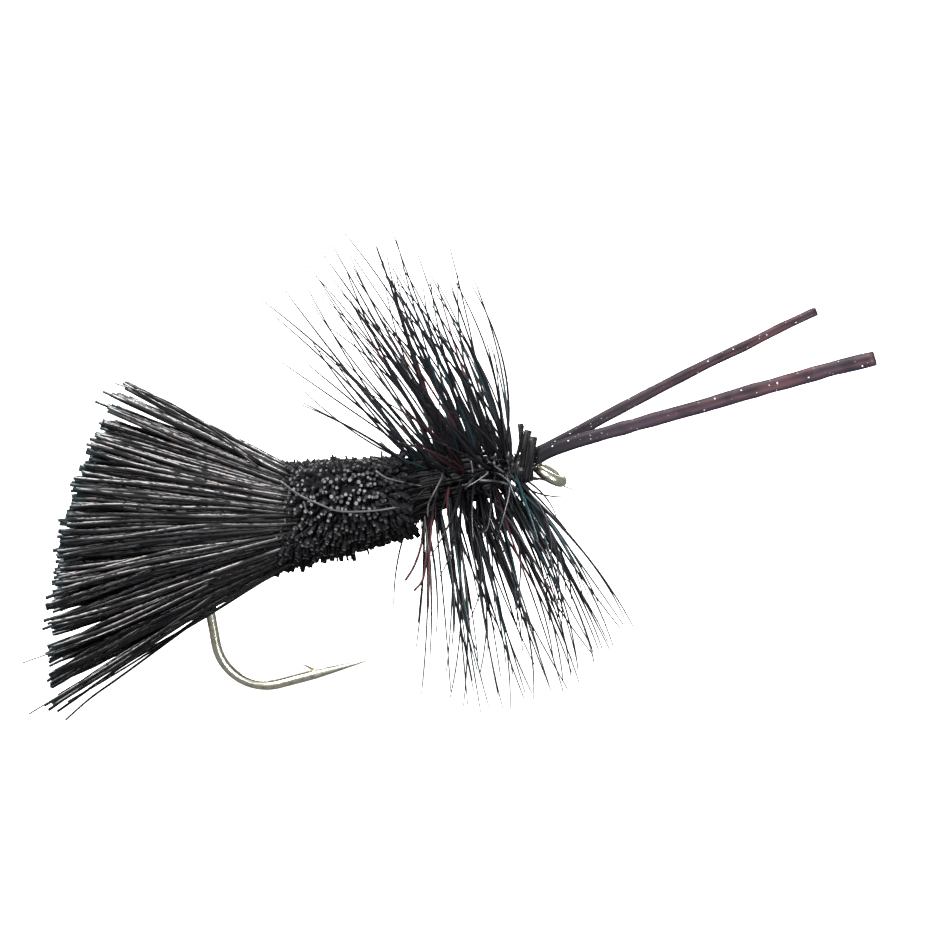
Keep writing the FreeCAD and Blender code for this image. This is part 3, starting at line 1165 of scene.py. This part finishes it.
        t = np.linspace(0, 1, self.stations)[None]
        drift = t**self.drift
        here = [between(p[:, None], end[:, None], drift) for p, end in ((a, end_a), (b, end_b))]
        lines = self.at(*here, between(self.root_x, end_x[:, None], t))
        phase = rng.uniform(0, TURN, (n, 1, 2))
        waves = rng.uniform(0.6, 2.2, (n, 1, 2))
        sway = np.sin(TURN * waves * t[..., None] + phase) - np.sin(phase)
        swing = np.where(upper, 0.06 - 0.03 * edge, 0.08)[:, None, None]
        lines[..., 1:] += sway * np.sqrt(t[..., None]) * swing
        steady, by_tuft, by_hair = self.bow
        bow = rng.normal(steady, by_tuft, tufts)[tuft] + rng.normal(0, by_hair, n)
        bow = np.where(upper, 1 - 0.5 * edge, 1.0) * bow
        lines[..., 2] += bow[:, None] * np.sin(np.pi * t)
        size = self.hair_r * rng.uniform(0.8, 1.15, (n, 1))
        radii = size * between(1.0, 0.88 - 0.16 * edge[:, None], t)
        return strands(lines, radii, rng.random(n), round_section(6), Y)

    def strays(self) -> Shape:
        """Finer hairs that have sprung out of the bundle.

        Returns:
            Their shape.
        """
        lines = through_each(self.stray_paths, 24)
        radii = widths(self.stray_r, np.linspace(1, 0.6, 24))
        return strands(lines, radii, np.linspace(0.1, 0.9, len(lines)), round_section(6), Y)

    def build(self) -> None:
        """Make the tail."""
        shape = Shape.joined([self.bundle(), self.strays()])
        finish = DyedHair("dyed_long_hair").material()
        show("tail_hairs", shape, [finish], ["tail_hair_fan"])


# ---- body


@dataclass
class SpunBody:
    """Hair spun round the shank in bundles and trimmed, its cut ends outwards."""

    bundles: int = 4
    stubs: int = 330
    stub_r: float = 0.093
    stub_taper: tuple[float, ...] = (0.8, 0.95, 1.0, 1.0)
    root_r: float = 0.7
    pith: float = 0.76
    lean: Pair = (-0.75, 0.35)
    overlap: float = 1.04
    proud: Pair = (0.04, 0.24)
    core_inset: float = 0.30
    down: int = 110
    down_r: float = 0.045
    dyed_from: float = -7.3

    def __post_init__(self) -> None:
        """Read the trimmed discs from the frame."""
        discs = [HOOK.middle(f"body_bundle_{index + 1}") for index in range(self.bundles)]
        self.centres = np.array([centre[0] for centre, _ in discs])
        self.radii = np.array([radius for _, radius in discs])
        self.axis_z = float(np.mean([centre[2] for centre, _ in discs]))
        self.pitch = float(np.diff(self.centres).mean())

    def radius(self, x: Array) -> Array:
        """Trimmed radius at x: a straight run from each disc's to the next one's."""
        return np.interp(x, self.centres, self.radii)

    def stub_lines(self, index: int, count: int, rng: Draws) -> Array:
        """Lines of the hairs of one bundle, from near the shank to the trimmed surface.

        The roots advance evenly along the bundle and turn by the golden angle, and the
        ends lean back at the rear of the body and forward at its front. A few stand
        proud, most of them underneath.

        Args:
            index: Which bundle, 0 at the rear.
            count: How many hairs.
            rng: Random numbers.

        Returns:
            The lines, of shape (count, 4, 3).
        """
        k = (np.arange(count) + 0.5) / count
        x = self.centres[index] + (k - 0.5) * self.pitch * self.overlap
        angle = np.arange(count) * GOLDEN + rng.normal(0, 0.045, count) + index
        body = (x - self.centres[0]) / (self.centres[-1] - self.centres[0])
        lean = between(*self.lean, np.clip(body, -0.2, 1.2)) + rng.normal(0, 0.07, count)
        proud = rng.normal(0, 0.05, count)
        share = 0.05 + 0.12 * (0.5 - 0.5 * np.cos(angle))
        proud = proud + np.where(rng.random(count) < share, rng.uniform(*self.proud, count), 0)
        out = self.radius(x + lean * 0.4) + proud
        t = np.linspace(0, 1, 4)[None, :, None]
        reach = between(self.root_r, out[:, None, None], t)
        twist = angle[:, None] + rng.normal(0, 0.10, (count, 1)) * t[..., 0]
        lines = (x[:, None, None] + lean[:, None, None] * t**1.5) * X
        return lines + reach * around(twist) + self.axis_z * t * Z

    def core(self, index: int) -> Shape:
        """Packed hair under the cut ends, one bundle long.

        Args:
            index: Which bundle, 0 at the rear.

        Returns:
            The core's shape.
        """
        half = self.pitch / 2
        x = self.centres[index] + np.linspace(-half, half, 7)
        radii = self.radius(x) - self.core_inset
        radii[[0, -1]] -= 0.04
        return turned(list(zip(x, radii)), self.axis_z, 40, 0.2)

    def build(self) -> None:
        """Make the bundles: pale-ended stubs, finer ones among them, and a core."""
        # trimmed hair: no painted highlight, only faint lighter streaks of painted sheen
        hair = DyedHair(
            "dyed_trimmed_hair",
            gloss=0.35,
            worn=(0.010, 0.010, 0.012),
            tint=0.0,
            crest=0.0,
            specular=0.15,
        )
        finishes = [hair.material(), HairPith().material()]
        for index in range(self.bundles):
            rng = np.random.default_rng(30 + index)
            lines = self.stub_lines(index, self.stubs, rng)
            size = self.stub_r * rng.uniform(0.8, 1.2, (self.stubs, 1))
            upward = np.clip((lines[:, -1, 2] - self.axis_z) / self.radii[index], 0, 1)
            dyed = np.clip((lines[:, -1, 0] - self.dyed_from) / 0.6, 0, 1)
            tones = rng.random(self.stubs) * (1 - 0.6 * upward) * (1 - 0.75 * dyed)
            radii = size * np.array(self.stub_taper)
            thick = strands(lines, radii, tones, round_section(8), X, self.pith)
            lines = self.stub_lines(index, self.down, rng)
            lines[:, -1] += rng.normal(0, 0.12, (self.down, 3))
            radii = np.full((self.down, 4), self.down_r)
            fine = strands(lines, radii, rng.random(self.down) * 0.4, round_section(5), X)
            shape = Shape.joined([thick, fine, self.core(index)])
            node = f"body_bundle_{index + 1}"
            show(f"spun_hair_{index + 1}", shape, finishes, [node])


BODY = SpunBody()


# ---- hackle


@dataclass
class Hackle:
    """Two cock feathers wound over the front of the shank.

    A barb leaves the wound stem at an angle back from the upright of sweep + tilt
    cos(turn), both of which change from the rear to the front, and at the rear some
    of the upper barbs lie further back. Barbs at the sides crowd a little towards the
    top and the bottom, and those that would cross the body are short.
    """

    rear_x: float = -5.75
    front_x: float = -1.3
    coil_r: float = 0.67
    quill_r: float = 0.11
    pitch: float = 0.58
    barbs: tuple[int, int] = (112, 148)
    web: int = 190
    web_reach: Pair = (0.09, 0.27)
    crowding: float = 1.6
    side_pull: float = 0.31
    sweep: Pair = (25.0, -4.5)
    tilt: Pair = (9.0, 13.5)
    laid_back: float = 11.0
    short: float = 7.8
    fullness: float = 3.2
    crossing: float = 0.4
    barb_r: float = 0.064
    tip_r: float = 0.021
    stations: int = 16
    crooked_r: float = 0.055
    crooked: tuple[Path, ...] = (
        (
            (-5.3, -0.5, -0.6), (-5.59, -0.6, -1.84), (-5.78, -0.9, -2.4),
            (-6.18, -1.0, -3.12), (-6.63, -1.1, -3.62),
        ),
        (
            (-5.2, -0.5, -0.9), (-5.42, -0.5, -2.11), (-5.63, -0.8, -2.88),
            (-5.91, -0.9, -3.73), (-6.35, -1.0, -4.13),
        ),
    )

    def reach(self, a: Array, turn: Array) -> Array:
        """Length of full barbs at a fraction a of the hackle and a turn from the top."""
        full = self.fullness * np.sin(np.pi * a) * (0.68 + 0.32 * np.cos(turn))
        return self.short + full - 1.0 * a**2 + 0.45 * a * (1 - np.cos(turn))

    def barb_lines(
        self, n: int, start: float, end: float, rng: Draws
    ) -> tuple[Array, Array]:
        """Lines of one feather's barbs.

        Each is straight, plus a bow by 4 (t - t^2) and a crook by t^3 at a fraction t.

        Args:
            n: How many barbs.
            start: Where the feather starts, as a fraction of the hackle.
            end: Where it ends.
            rng: Random numbers.

        Returns:
            The lines, of shape (barbs, stations, 3), and their radii.
        """
        places = between(start**self.crowding, end**self.crowding, (np.arange(n) + 0.5) / n)
        a = places ** (1 / self.crowding)
        x = between(self.rear_x, self.front_x, a)
        turn = TURN * (x - self.rear_x) / self.pitch + rng.normal(0, 0.35, n)
        turn = turn - self.side_pull * np.sin(2 * turn)
        sweep = between(*self.sweep, a**0.6) + between(*self.tilt, a) * np.cos(turn)
        sweep = sweep + rng.normal(0, 5.5, n)
        laid_back = np.abs(rng.normal(0, self.laid_back, n))
        sweep = sweep + laid_back * (1 - a) ** 3 * (1 + np.cos(turn)) / 2
        sweep = np.radians(sweep)[:, None]
        way = np.cos(sweep) * around(turn) - np.sin(sweep) * X
        aside = unit(np.cross(way, X))
        length = self.reach(a, turn) * (1 - 0.38 * rng.random(n) ** 2.2)
        over_body = (np.abs(np.sin(turn)) > 0.75) & (a < 0.45)
        crossing = np.where(over_body, self.crossing, 1.0)
        length = length * crossing
        t = np.linspace(0, 1, self.stations)[None, :, None]
        root = x[:, None] * X + self.coil_r * around(turn) + rng.normal(0, 0.05, (n, 3))
        bow = rng.normal(0, 0.35, (n, 1, 1)) * aside[:, None]
        bow = bow + rng.normal(0.15, 0.30, (n, 1, 1)) * X
        crook = rng.normal(0, 0.25, (n, 1, 1)) * aside[:, None]
        lines = root[:, None] + way[:, None] * length[:, None, None] * t
        lines = lines + (bow * (t - t**2) * 4 + crook * t**3) * crossing[:, None, None] ** 2
        size = self.barb_r * rng.uniform(0.75, 1.2, (n, 1))
        radii = (size - self.tip_r) * (1 - t[..., 0]) ** 0.75 + self.tip_r
        return lines, radii

    def stems(self) -> None:
        """Make both feathers' wound stems."""
        stem = FeatherStem("hackle_stem", worn=0.62).material()
        middle = (self.rear_x + self.front_x) / 2
        coils = {"rear": (self.rear_x, middle - 0.2), "front": (middle + 0.2, self.front_x)}
        for name, ends in coils.items():
            coil = wound(*ends, self.pitch, (self.coil_r, self.coil_r), self.quill_r, 0.8)
            show(f"{name}_hackle_stem", coil, [stem], [f"{name}_hackle_quill"])

    def build(self) -> None:
        """Make both feathers: stems, barbs, and the short web at the barbs' roots."""
        self.stems()
        barb = HackleBarb().material()
        section = round_section(5)
        halves = (("rear", 51, 0.0, 0.52), ("front", 52, 0.48, 1.0))
        for (name, seed, start, end), count in zip(halves, self.barbs):
            rng = np.random.default_rng(seed)
            lines, radii = self.barb_lines(count, start, end, rng)
            shapes = [strands(lines, radii, rng.random(count), section)]
            lines, radii = self.barb_lines(self.web, start, end, rng)
            roots = lines[:, :1]
            lines = roots + (lines - roots) * rng.uniform(*self.web_reach, (self.web, 1, 1))
            tones = 0.3 + 0.55 * rng.random(self.web)
            shapes.append(strands(lines, radii, tones, section))
            if name == "rear":
                bent = through_each(self.crooked, 16)
                radii = np.full(bent.shape[:2], self.crooked_r)
                shapes.append(strands(bent, radii, np.full(len(bent), 0.95), round_section(6)))
            piece, node = f"{name}_hackle_barbs_fine", f"{name}_hackle_barbs"
            show(piece, Shape.joined(shapes), [barb], [node])


@dataclass
class Bed:
    """What lies under the hackle: wound thread, and hair butts bound down on it."""

    butts: int = 190
    butt_r: float = 0.075
    thread_r: float = 0.055
    core_r: Pair = (0.36, 0.45)
    wrap_r: float = 0.47
    start_x: Pair = (-7.5, -6.2)
    end_x: Pair = (-4.6, -1.5)

    def butt_lines(self, rng: Draws) -> Array:
        """Lines that run from the front of the body down to the bed and along it.

        The distance from the shank changes with the root of the fraction along, and
        the line sags by the square of what is left.

        Args:
            rng: Random numbers.

        Returns:
            The lines, of shape (butts, 12, 3).
        """
        n = self.butts
        start_x, end_x = rng.uniform(*self.start_x, n), rng.uniform(*self.end_x, n)
        start_r = BODY.radius(start_x) * rng.uniform(0.5, 1.06, n)
        end_r = rng.uniform(0.6, 0.95, n)
        t = np.linspace(0, 1, 12)[None]
        x = between(start_x[:, None], end_x[:, None], t)
        reach = between(start_r[:, None], end_r[:, None], np.sqrt(t))
        twist = (np.arange(n) * GOLDEN)[:, None] + rng.normal(0, 0.35, (n, 1)) * t
        sag = -0.33 * (1 - t) ** 2
        return x[..., None] * X + reach[..., None] * around(twist) + sag[..., None] * Z

    def build(self) -> None:
        """Make the bed."""
        rng = np.random.default_rng(61)
        lines = self.butt_lines(rng)
        size = self.butt_r * rng.uniform(0.7, 1.2, (self.butts, 1))
        radii = size * np.linspace(1, 0.7, 12)
        butts = strands(lines, radii, rng.random(self.butts), round_section(5))
        # bound hair: a faint painted highlight
        hair = DyedHair("bound_hair", gloss=0.35, tint=0.0, crest=0.10, specular=0.2)
        show("bound_hair_butts", butts, [hair.material()], [])
        low, high = (HOOK.to_hook(np.array(corner))[0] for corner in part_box("hackle_bed"))
        end_r, middle_r = self.core_r
        inner = (low + 0.1, high - 0.1)
        profile = [(low, end_r), (inner[0], middle_r), (inner[1], middle_r), (high, end_r)]
        wraps = wound(*inner, 0.12, (self.wrap_r, self.wrap_r), self.thread_r, 0.8)
        thread = Shape.joined([turned(profile, 0.0, 28, 0.5), wraps])
        show("bed_thread", thread, [WaxedThread().material()], ["hackle_bed"])


# ---- head


@dataclass
class Head:
    """Thread head behind the eye, its varnish, the whip finish and the trimmed butts."""

    rear_x: float = -1.4
    front_x: float = -0.72
    rear_r: float = 0.66
    front_r: float = 0.58
    thread_r: float = 0.045
    whip_x: float = -0.6
    whip_r: Pair = (0.25, 0.23)
    ripple: float = 0.012
    stalk_r: float = 0.11
    stalk_half: float = 0.78
    flat_paths: tuple[Path, ...] = (
        ((-1.06, -0.75, -0.44), (-0.76, -0.80, 0.45), (-0.46, -0.70, 1.37)),
        ((-1.15, -0.60, 0.08), (-0.87, -0.60, 1.05), (-0.60, -0.50, 1.62)),
        ((-1.1, 0.45, 0.4), (-0.98, 0.50, 1.2), (-0.92, 0.52, 1.72)),
        ((-1.0, -0.1, 0.5), (-0.78, -0.2, 1.1), (-0.72, -0.25, 1.55)),
    )
    flat_r: tuple[float, ...] = (0.17, 0.14, 0.11, 0.09)
    flat_tones: tuple[float, ...] = (0.3, 0.5, 0.45, 0.6)
    fine_paths: tuple[Path, ...] = (
        ((-1.56, -0.70, 0.41), (-1.39, -0.70, 1.37), (-1.33, -0.70, 2.23)),
        ((-1.91, -0.50, 0.43), (-1.80, -0.55, 1.10), (-1.64, -0.60, 1.66)),
        ((-1.30, -0.35, 0.5), (-0.98, -0.40, 1.3), (-0.70, -0.40, 1.95)),
    )
    fine_r: tuple[float, ...] = (0.075, 0.07, 0.06)
    fine_tones: tuple[float, ...] = (0.35, 0.5, 0.4)

    def barrel(self) -> Shape:
        """Core and two layers of wraps of the head's thread.

        Returns:
            Their shape.
        """
        rear, front = self.rear_x, self.front_x
        wide, narrow = self.rear_r - 0.05, self.front_r - 0.05
        core = [(rear, wide - 0.12), (rear + 0.06, wide)]
        core += [(front - 0.05, narrow), (front, narrow - 0.14)]
        layers = [
            (rear + 0.05, front - 0.04, 0.085, (wide, narrow)),
            (front - 0.03, rear + 0.2, 0.13, (narrow + 0.03, wide + 0.03)),
        ]
        wraps = [wound(*layer, self.thread_r, flat=0.9) for layer in layers]
        return Shape.joined([turned(core, 0.0, 28, 0.5), *wraps])

    def varnish(self) -> Shape:
        """A bead of varnish over the middle of the head: a ripple on a taper.

        Returns:
            The bead's shape.
        """
        x = np.linspace(self.rear_x + 0.12, self.front_x - 0.08, 24)
        along = np.linspace(0, 1, 24)
        radius = between(self.rear_r, self.front_r, along) + 0.03
        radius = radius + self.ripple * np.sin(TURN * 4.5 * along)
        radius[[0, -1]] -= 0.06
        return turned(list(zip(x, radius)), 0.0, 36, 0.5)

    def butts(self) -> Shape:
        """Trimmed ends of the feathers: flat square-cut ones, and fine pointed ones.

        Returns:
            Their shape.
        """
        t = np.linspace(0, 1, 9)
        flat_r = widths(self.flat_r, between(0.8, 1.12, t))
        fine_r = widths(self.fine_r, 1 - np.linspace(0, 0.97, 9) ** 2.2)
        kinds = [
            (self.flat_paths, flat_r, self.flat_tones, round_section(12, 0.45)),
            (self.fine_paths, fine_r, self.fine_tones, round_section(8, 0.6)),
        ]
        shapes = [
            strands(through_each(paths, 9), radii, np.array(tones), section, Y)
            for paths, radii, tones, section in kinds
        ]
        return Shape.joined(shapes)

    def stalk(self, node: str) -> Shape:
        """The stretch of a stripped stem that is bound down beside the shank.

        Args:
            node: CAD node that it stands for.

        Returns:
            Its shape.
        """
        x = np.linspace(-self.stalk_half, self.stalk_half, 12)
        line = HOOK.middle(node)[0] + x[:, None] * X
        radius = self.stalk_r * (1 - 0.3 * (x / self.stalk_half) ** 8)
        return strand(line, radius, 0.5, round_section(12))

    def build(self) -> None:
        """Make the head."""
        thread = WaxedThread("head_waxed_thread").material()
        show("head_wraps", self.barrel(), [thread], ["head_thread"])
        varnish = Varnish().material()
        show("varnish_bead", self.varnish(), [varnish], ["head_cement"])
        knot = wound(self.front_x + 0.02, self.whip_x, 0.075, self.whip_r, 0.04, 1.0)
        show("whip_knot", knot, [thread], ["whip_finish"])
        deep, light = (0.006, 0.006, 0.007), (0.05, 0.05, 0.054)
        tips = FeatherStem("trimmed_feather_ends", deep, light, worn=0.6, specular=0.15)
        node = "trimmed_hackle_tips"
        show("feather_end_butts", self.butts(), [tips.material()], [node])
        stem = FeatherStem("bound_stem").material()
        for side in ("near", "far"):
            node = f"{side}_bound_stalk"
            show(f"{side}_bound_stem", self.stalk(node), [stem], [node])


@dataclass
class LooseFibres:
    """Grey fibres that lie loose over the near side."""

    long_hair: Path = (
        (-10.88, -2.20, 1.62), (-10.20, -2.32, 0.92), (-9.44, -2.30, 0.40),
        (-8.77, -2.22, -0.01), (-7.85, -2.05, -0.23), (-7.07, -1.88, -0.34),
        (-6.30, -1.60, -0.40),
    )
    long_r: float = 0.042
    short: tuple[Path, ...] = (
        ((-4.29, -1.2, 0.74), (-4.46, -1.3, 0.35), (-5.09, -1.4, -0.49), (-5.24, -1.4, -1.06)),
        ((-3.11, -1.1, 0.89), (-3.15, -1.2, 0.33), (-3.54, -1.2, -0.26)),
        ((-2.64, -1.1, 0.93), (-2.03, -1.2, 0.37), (-1.39, -1.0, -0.32)),
        ((-2.96, -1.2, 0.06), (-2.12, -1.3, -0.13), (-1.39, -1.0, -0.62)),
        ((-7.01, -1.7, 1.27), (-6.60, -1.75, 0.91), (-5.92, -1.5, 0.54), (-5.24, -1.2, 0.19)),
        ((-10.09, -2.25, 0.62), (-10.04, -2.34, 0.30), (-9.88, -2.32, 0.04)),
    )
    short_r: tuple[float, ...] = (0.05, 0.035, 0.05, 0.055, 0.045, 0.035)

    def build(self) -> None:
        """Make the fibres."""
        deep, light = (0.035, 0.034, 0.038), (0.13, 0.125, 0.13)
        grey = FeatherStem("loose_grey_fibre", deep, light).material()
        section = round_section(6)
        radius = np.full(40, self.long_r)
        long = strand(through(self.long_hair, 40), radius, 0.3, section, None)
        lines = through_each(self.short, 14)
        radii = widths(self.short_r, between(1, 0.7, np.linspace(0, 1, 14)))
        short = strands(lines, radii, np.linspace(0.2, 0.8, len(lines)), section)
        show("loose_fibres", Shape.joined([long, short]), [grey], [])


# ---- antennae


@dataclass
class Antenna:
    """Stripped stem of a feather, pointing forward over the eye.

    Its line is straight, lifted by a sine-shaped bow, a few kinks that grow towards its
    end, and near the root a lift of u exp(1 - u) at a fraction u of the lift's reach.
    Its section is an oval with a shallow groove down each broad face, and it changes
    evenly from the root to the square-cut end.
    """

    side: str
    body: Body
    length: float
    rise: float
    tip: Pair
    root_size: Pair
    root_lift: float = 0.0
    lift_reach: float = 0.1
    bow: float = 0.12
    flex: float = 0.12
    rooted: float = 0.55
    kinked: float = 0.03
    rough: float = 0.035
    stations: int = 60

    def section(self) -> Array:
        """Oval with a groove down the middle of both broad faces.

        Returns:
            Corners of the section, of shape (20, 2).
        """
        angle = np.arange(20) * (TURN / 20)
        groove = 1 - 0.32 * np.exp(-((np.cos(angle) / 0.3) ** 2))
        return np.stack([np.cos(angle), np.sin(angle) * groove], -1)

    def build(self, finish: Material) -> None:
        """Make the antenna.

        Args:
            finish: Its material.
        """
        joint = next(joint for joint in frame["joints"] if joint["child"] == self.body.value)
        pivot = np.array(joint["pos_m"])
        level = unit(np.cross(unit(np.array(joint["axis"])), Z))
        level = level * np.sign(level[0])
        slope = math.radians(self.rise)
        way = math.cos(slope) * level + math.sin(slope) * Z
        across = unit(np.cross(Z, way))
        rng = np.random.default_rng(len(self.side))
        t = np.linspace(-self.rooted / self.length, 1, self.stations)
        kinks = np.interp(t, np.linspace(0, 1, 9), rng.normal(0, self.kinked, 9))
        early = np.maximum(t, 0) / self.lift_reach
        lift = self.bow * np.sin(np.pi * t) + kinks * t
        lift = lift + self.root_lift * early * np.exp(1 - early)
        offset = way * (self.length * t)[:, None] + np.cross(way, across) * lift[:, None]
        bumps = 1 + self.rough * np.interp(t, np.linspace(0, 1, 24), rng.normal(0, 1, 24))
        sizes = zip(self.root_size, self.tip)
        radii = np.stack([between(root, tip, t) * bumps for root, tip in sizes], -1)
        line = HOOK.to_hook(pivot + offset * MM)
        shape = strand(line, radii, 0.37, self.section(), HOOK.turn(across, -1.0))
        bends = (self.body, pivot, pivot + way * self.length * self.flex * MM)
        node = f"{self.side}_antenna"
        show(f"{node}_stem", shape, [finish], [node], bends)


# ---- studio


@dataclass
class Studio:
    """Camera, soft lights, sky and floor; places are millimetres from the target."""

    target: Point = (-3.12, 0.0, -0.145)
    elevation: float = 13.0
    distance: float = 450.0
    view_width: float = 38.93
    sensor: float = 36.0
    clip: Pair = (0.01, 20.0)
    horizon: float = 0.42
    sky: tuple[Colour, Colour] = ((0.20, 0.20, 0.205), (0.40, 0.40, 0.41))
    lamps: tuple[tuple[str, Point, float, float, Colour], ...] = (
        ("key", (-120.0, -210.0, 260.0), 75.0, 3.0, (1.0, 0.99, 0.97)),
        ("front", (140.0, -300.0, 40.0), 120.0, 0.6, (0.97, 0.98, 1.0)),
        ("back", (60.0, 260.0, 180.0), 120.0, 1.5, (1.0, 1.0, 1.0)),
    )
    floor_half: float = 6.0

    def aim(self, data: bpy.types.Camera | bpy.types.Light, place: Vector) -> bpy.types.Object:
        """Stand a camera or a lamp at a place, facing the target.

        Args:
            data: Its data.
            place: Where it stands.

        Returns:
            The new object.
        """
        aimed = bpy.data.objects.new(data.name, data)
        bpy.context.scene.collection.objects.link(aimed)
        aimed.location = (Vector(self.target) + place) * MM
        aimed.rotation_mode = "QUATERNION"
        aimed.rotation_quaternion = (-place).to_track_quat("-Z", "Y")
        return aimed

    def camera(self) -> None:
        """Long lens at the near side, a little above the fly."""
        data = bpy.data.cameras.new("camera")
        angle = math.radians(self.elevation)
        back = Vector((0.0, -math.cos(angle), math.sin(angle)))
        data.sensor_width = self.sensor
        data.lens = self.sensor * self.distance / self.view_width
        data.clip_start, data.clip_end = self.clip
        bpy.context.scene.camera = self.aim(data, back * self.distance)

    def light(self) -> None:
        """Square soft lamps, each with its name, place, side, power and colour."""
        for name, place, size, power, colour in self.lamps:
            data = bpy.data.lights.new(name, "AREA")
            data.size, data.energy, data.color = size * MM, power, colour
            self.aim(data, Vector(place))

    def world(self) -> None:
        """Pale sky that darkens below the horizon."""
        world = bpy.data.worlds.new("studio_sky")
        bpy.context.scene.world = world
        shop = Shop(world)
        place = shop.node("ShaderNodeTexCoord", {}, {}, "Generated")
        height = shop.node("ShaderNodeSeparateXYZ", {}, {0: place}, "Z")
        level = shop.node("ShaderNodeMapRange", {}, {"Value": height, "From Min": -1.0})
        low, high = self.sky
        stops = {"stops": [(self.horizon, low), (1.0, high)]}
        colour = shop.node("ShaderNodeValToRGB", stops, {0: level})
        light = shop.node("ShaderNodeBackground", {}, {"Color": colour})
        shop.node("ShaderNodeOutputWorld", {}, {"Surface": light})

    def floor(self, height: float) -> None:
        """A wide sheet under the fly.

        Args:
            height: Its height in metres.
        """
        half = self.floor_half
        corners = [(-half, -half), (half, -half), (half, half), (-half, half)]
        mesh = bpy.data.meshes.new("floor")
        mesh.from_pydata([(x, y, height) for x, y in corners], [], [(0, 1, 2, 3)])
        mesh.materials.append(StudioPaper().material())
        floor = bpy.data.objects.new("floor", mesh)
        bpy.context.scene.collection.objects.link(floor)
        floor.visible_glossy = False
        floor.visible_diffuse = False
        floor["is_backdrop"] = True

    def build(self) -> None:
        """Set up the camera, the sky and the lights."""
        self.camera()
        self.world()
        self.light()
        bpy.context.scene.view_settings.view_transform = "Standard"


def dress_frame_nodes() -> None:
    """Give the CAD's own thread pieces, which stay, their thread finish."""
    finish = WaxedThread("lashing_thread").material()
    for name in ("thread_base", "tail_lashing", *(f"body_lashing_{n}" for n in range(1, 5))):
        for slot in frame["nodes"][name].material_slots:
            slot.material = finish
        log.info("%s: frame node in thread", name)


def main() -> None:
    """Build the fly, then its studio."""
    logging.basicConfig(level=logging.INFO, format="%(name)s: %(message)s")
    studio = Studio()
    studio.build()
    for part in (Hook(), TailFan(), BODY, Bed(), Hackle(), Head(), LooseFibres()):
        part.build()
    horn = StrippedStem().material()
    near = Antenna("near", Body.NEAR, 15.15, 19.9, (0.32, 0.16), (0.27, 0.15), root_lift=0.17)
    far = Antenna("far", Body.FAR, 13.3, 22.8, (0.19, 0.15), (0.27, 0.14))
    for antenna in (near, far):
        antenna.build(horn)
    dress_frame_nodes()
    low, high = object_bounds()
    studio.floor(low[2])


if __name__ == "__main__":
    main()
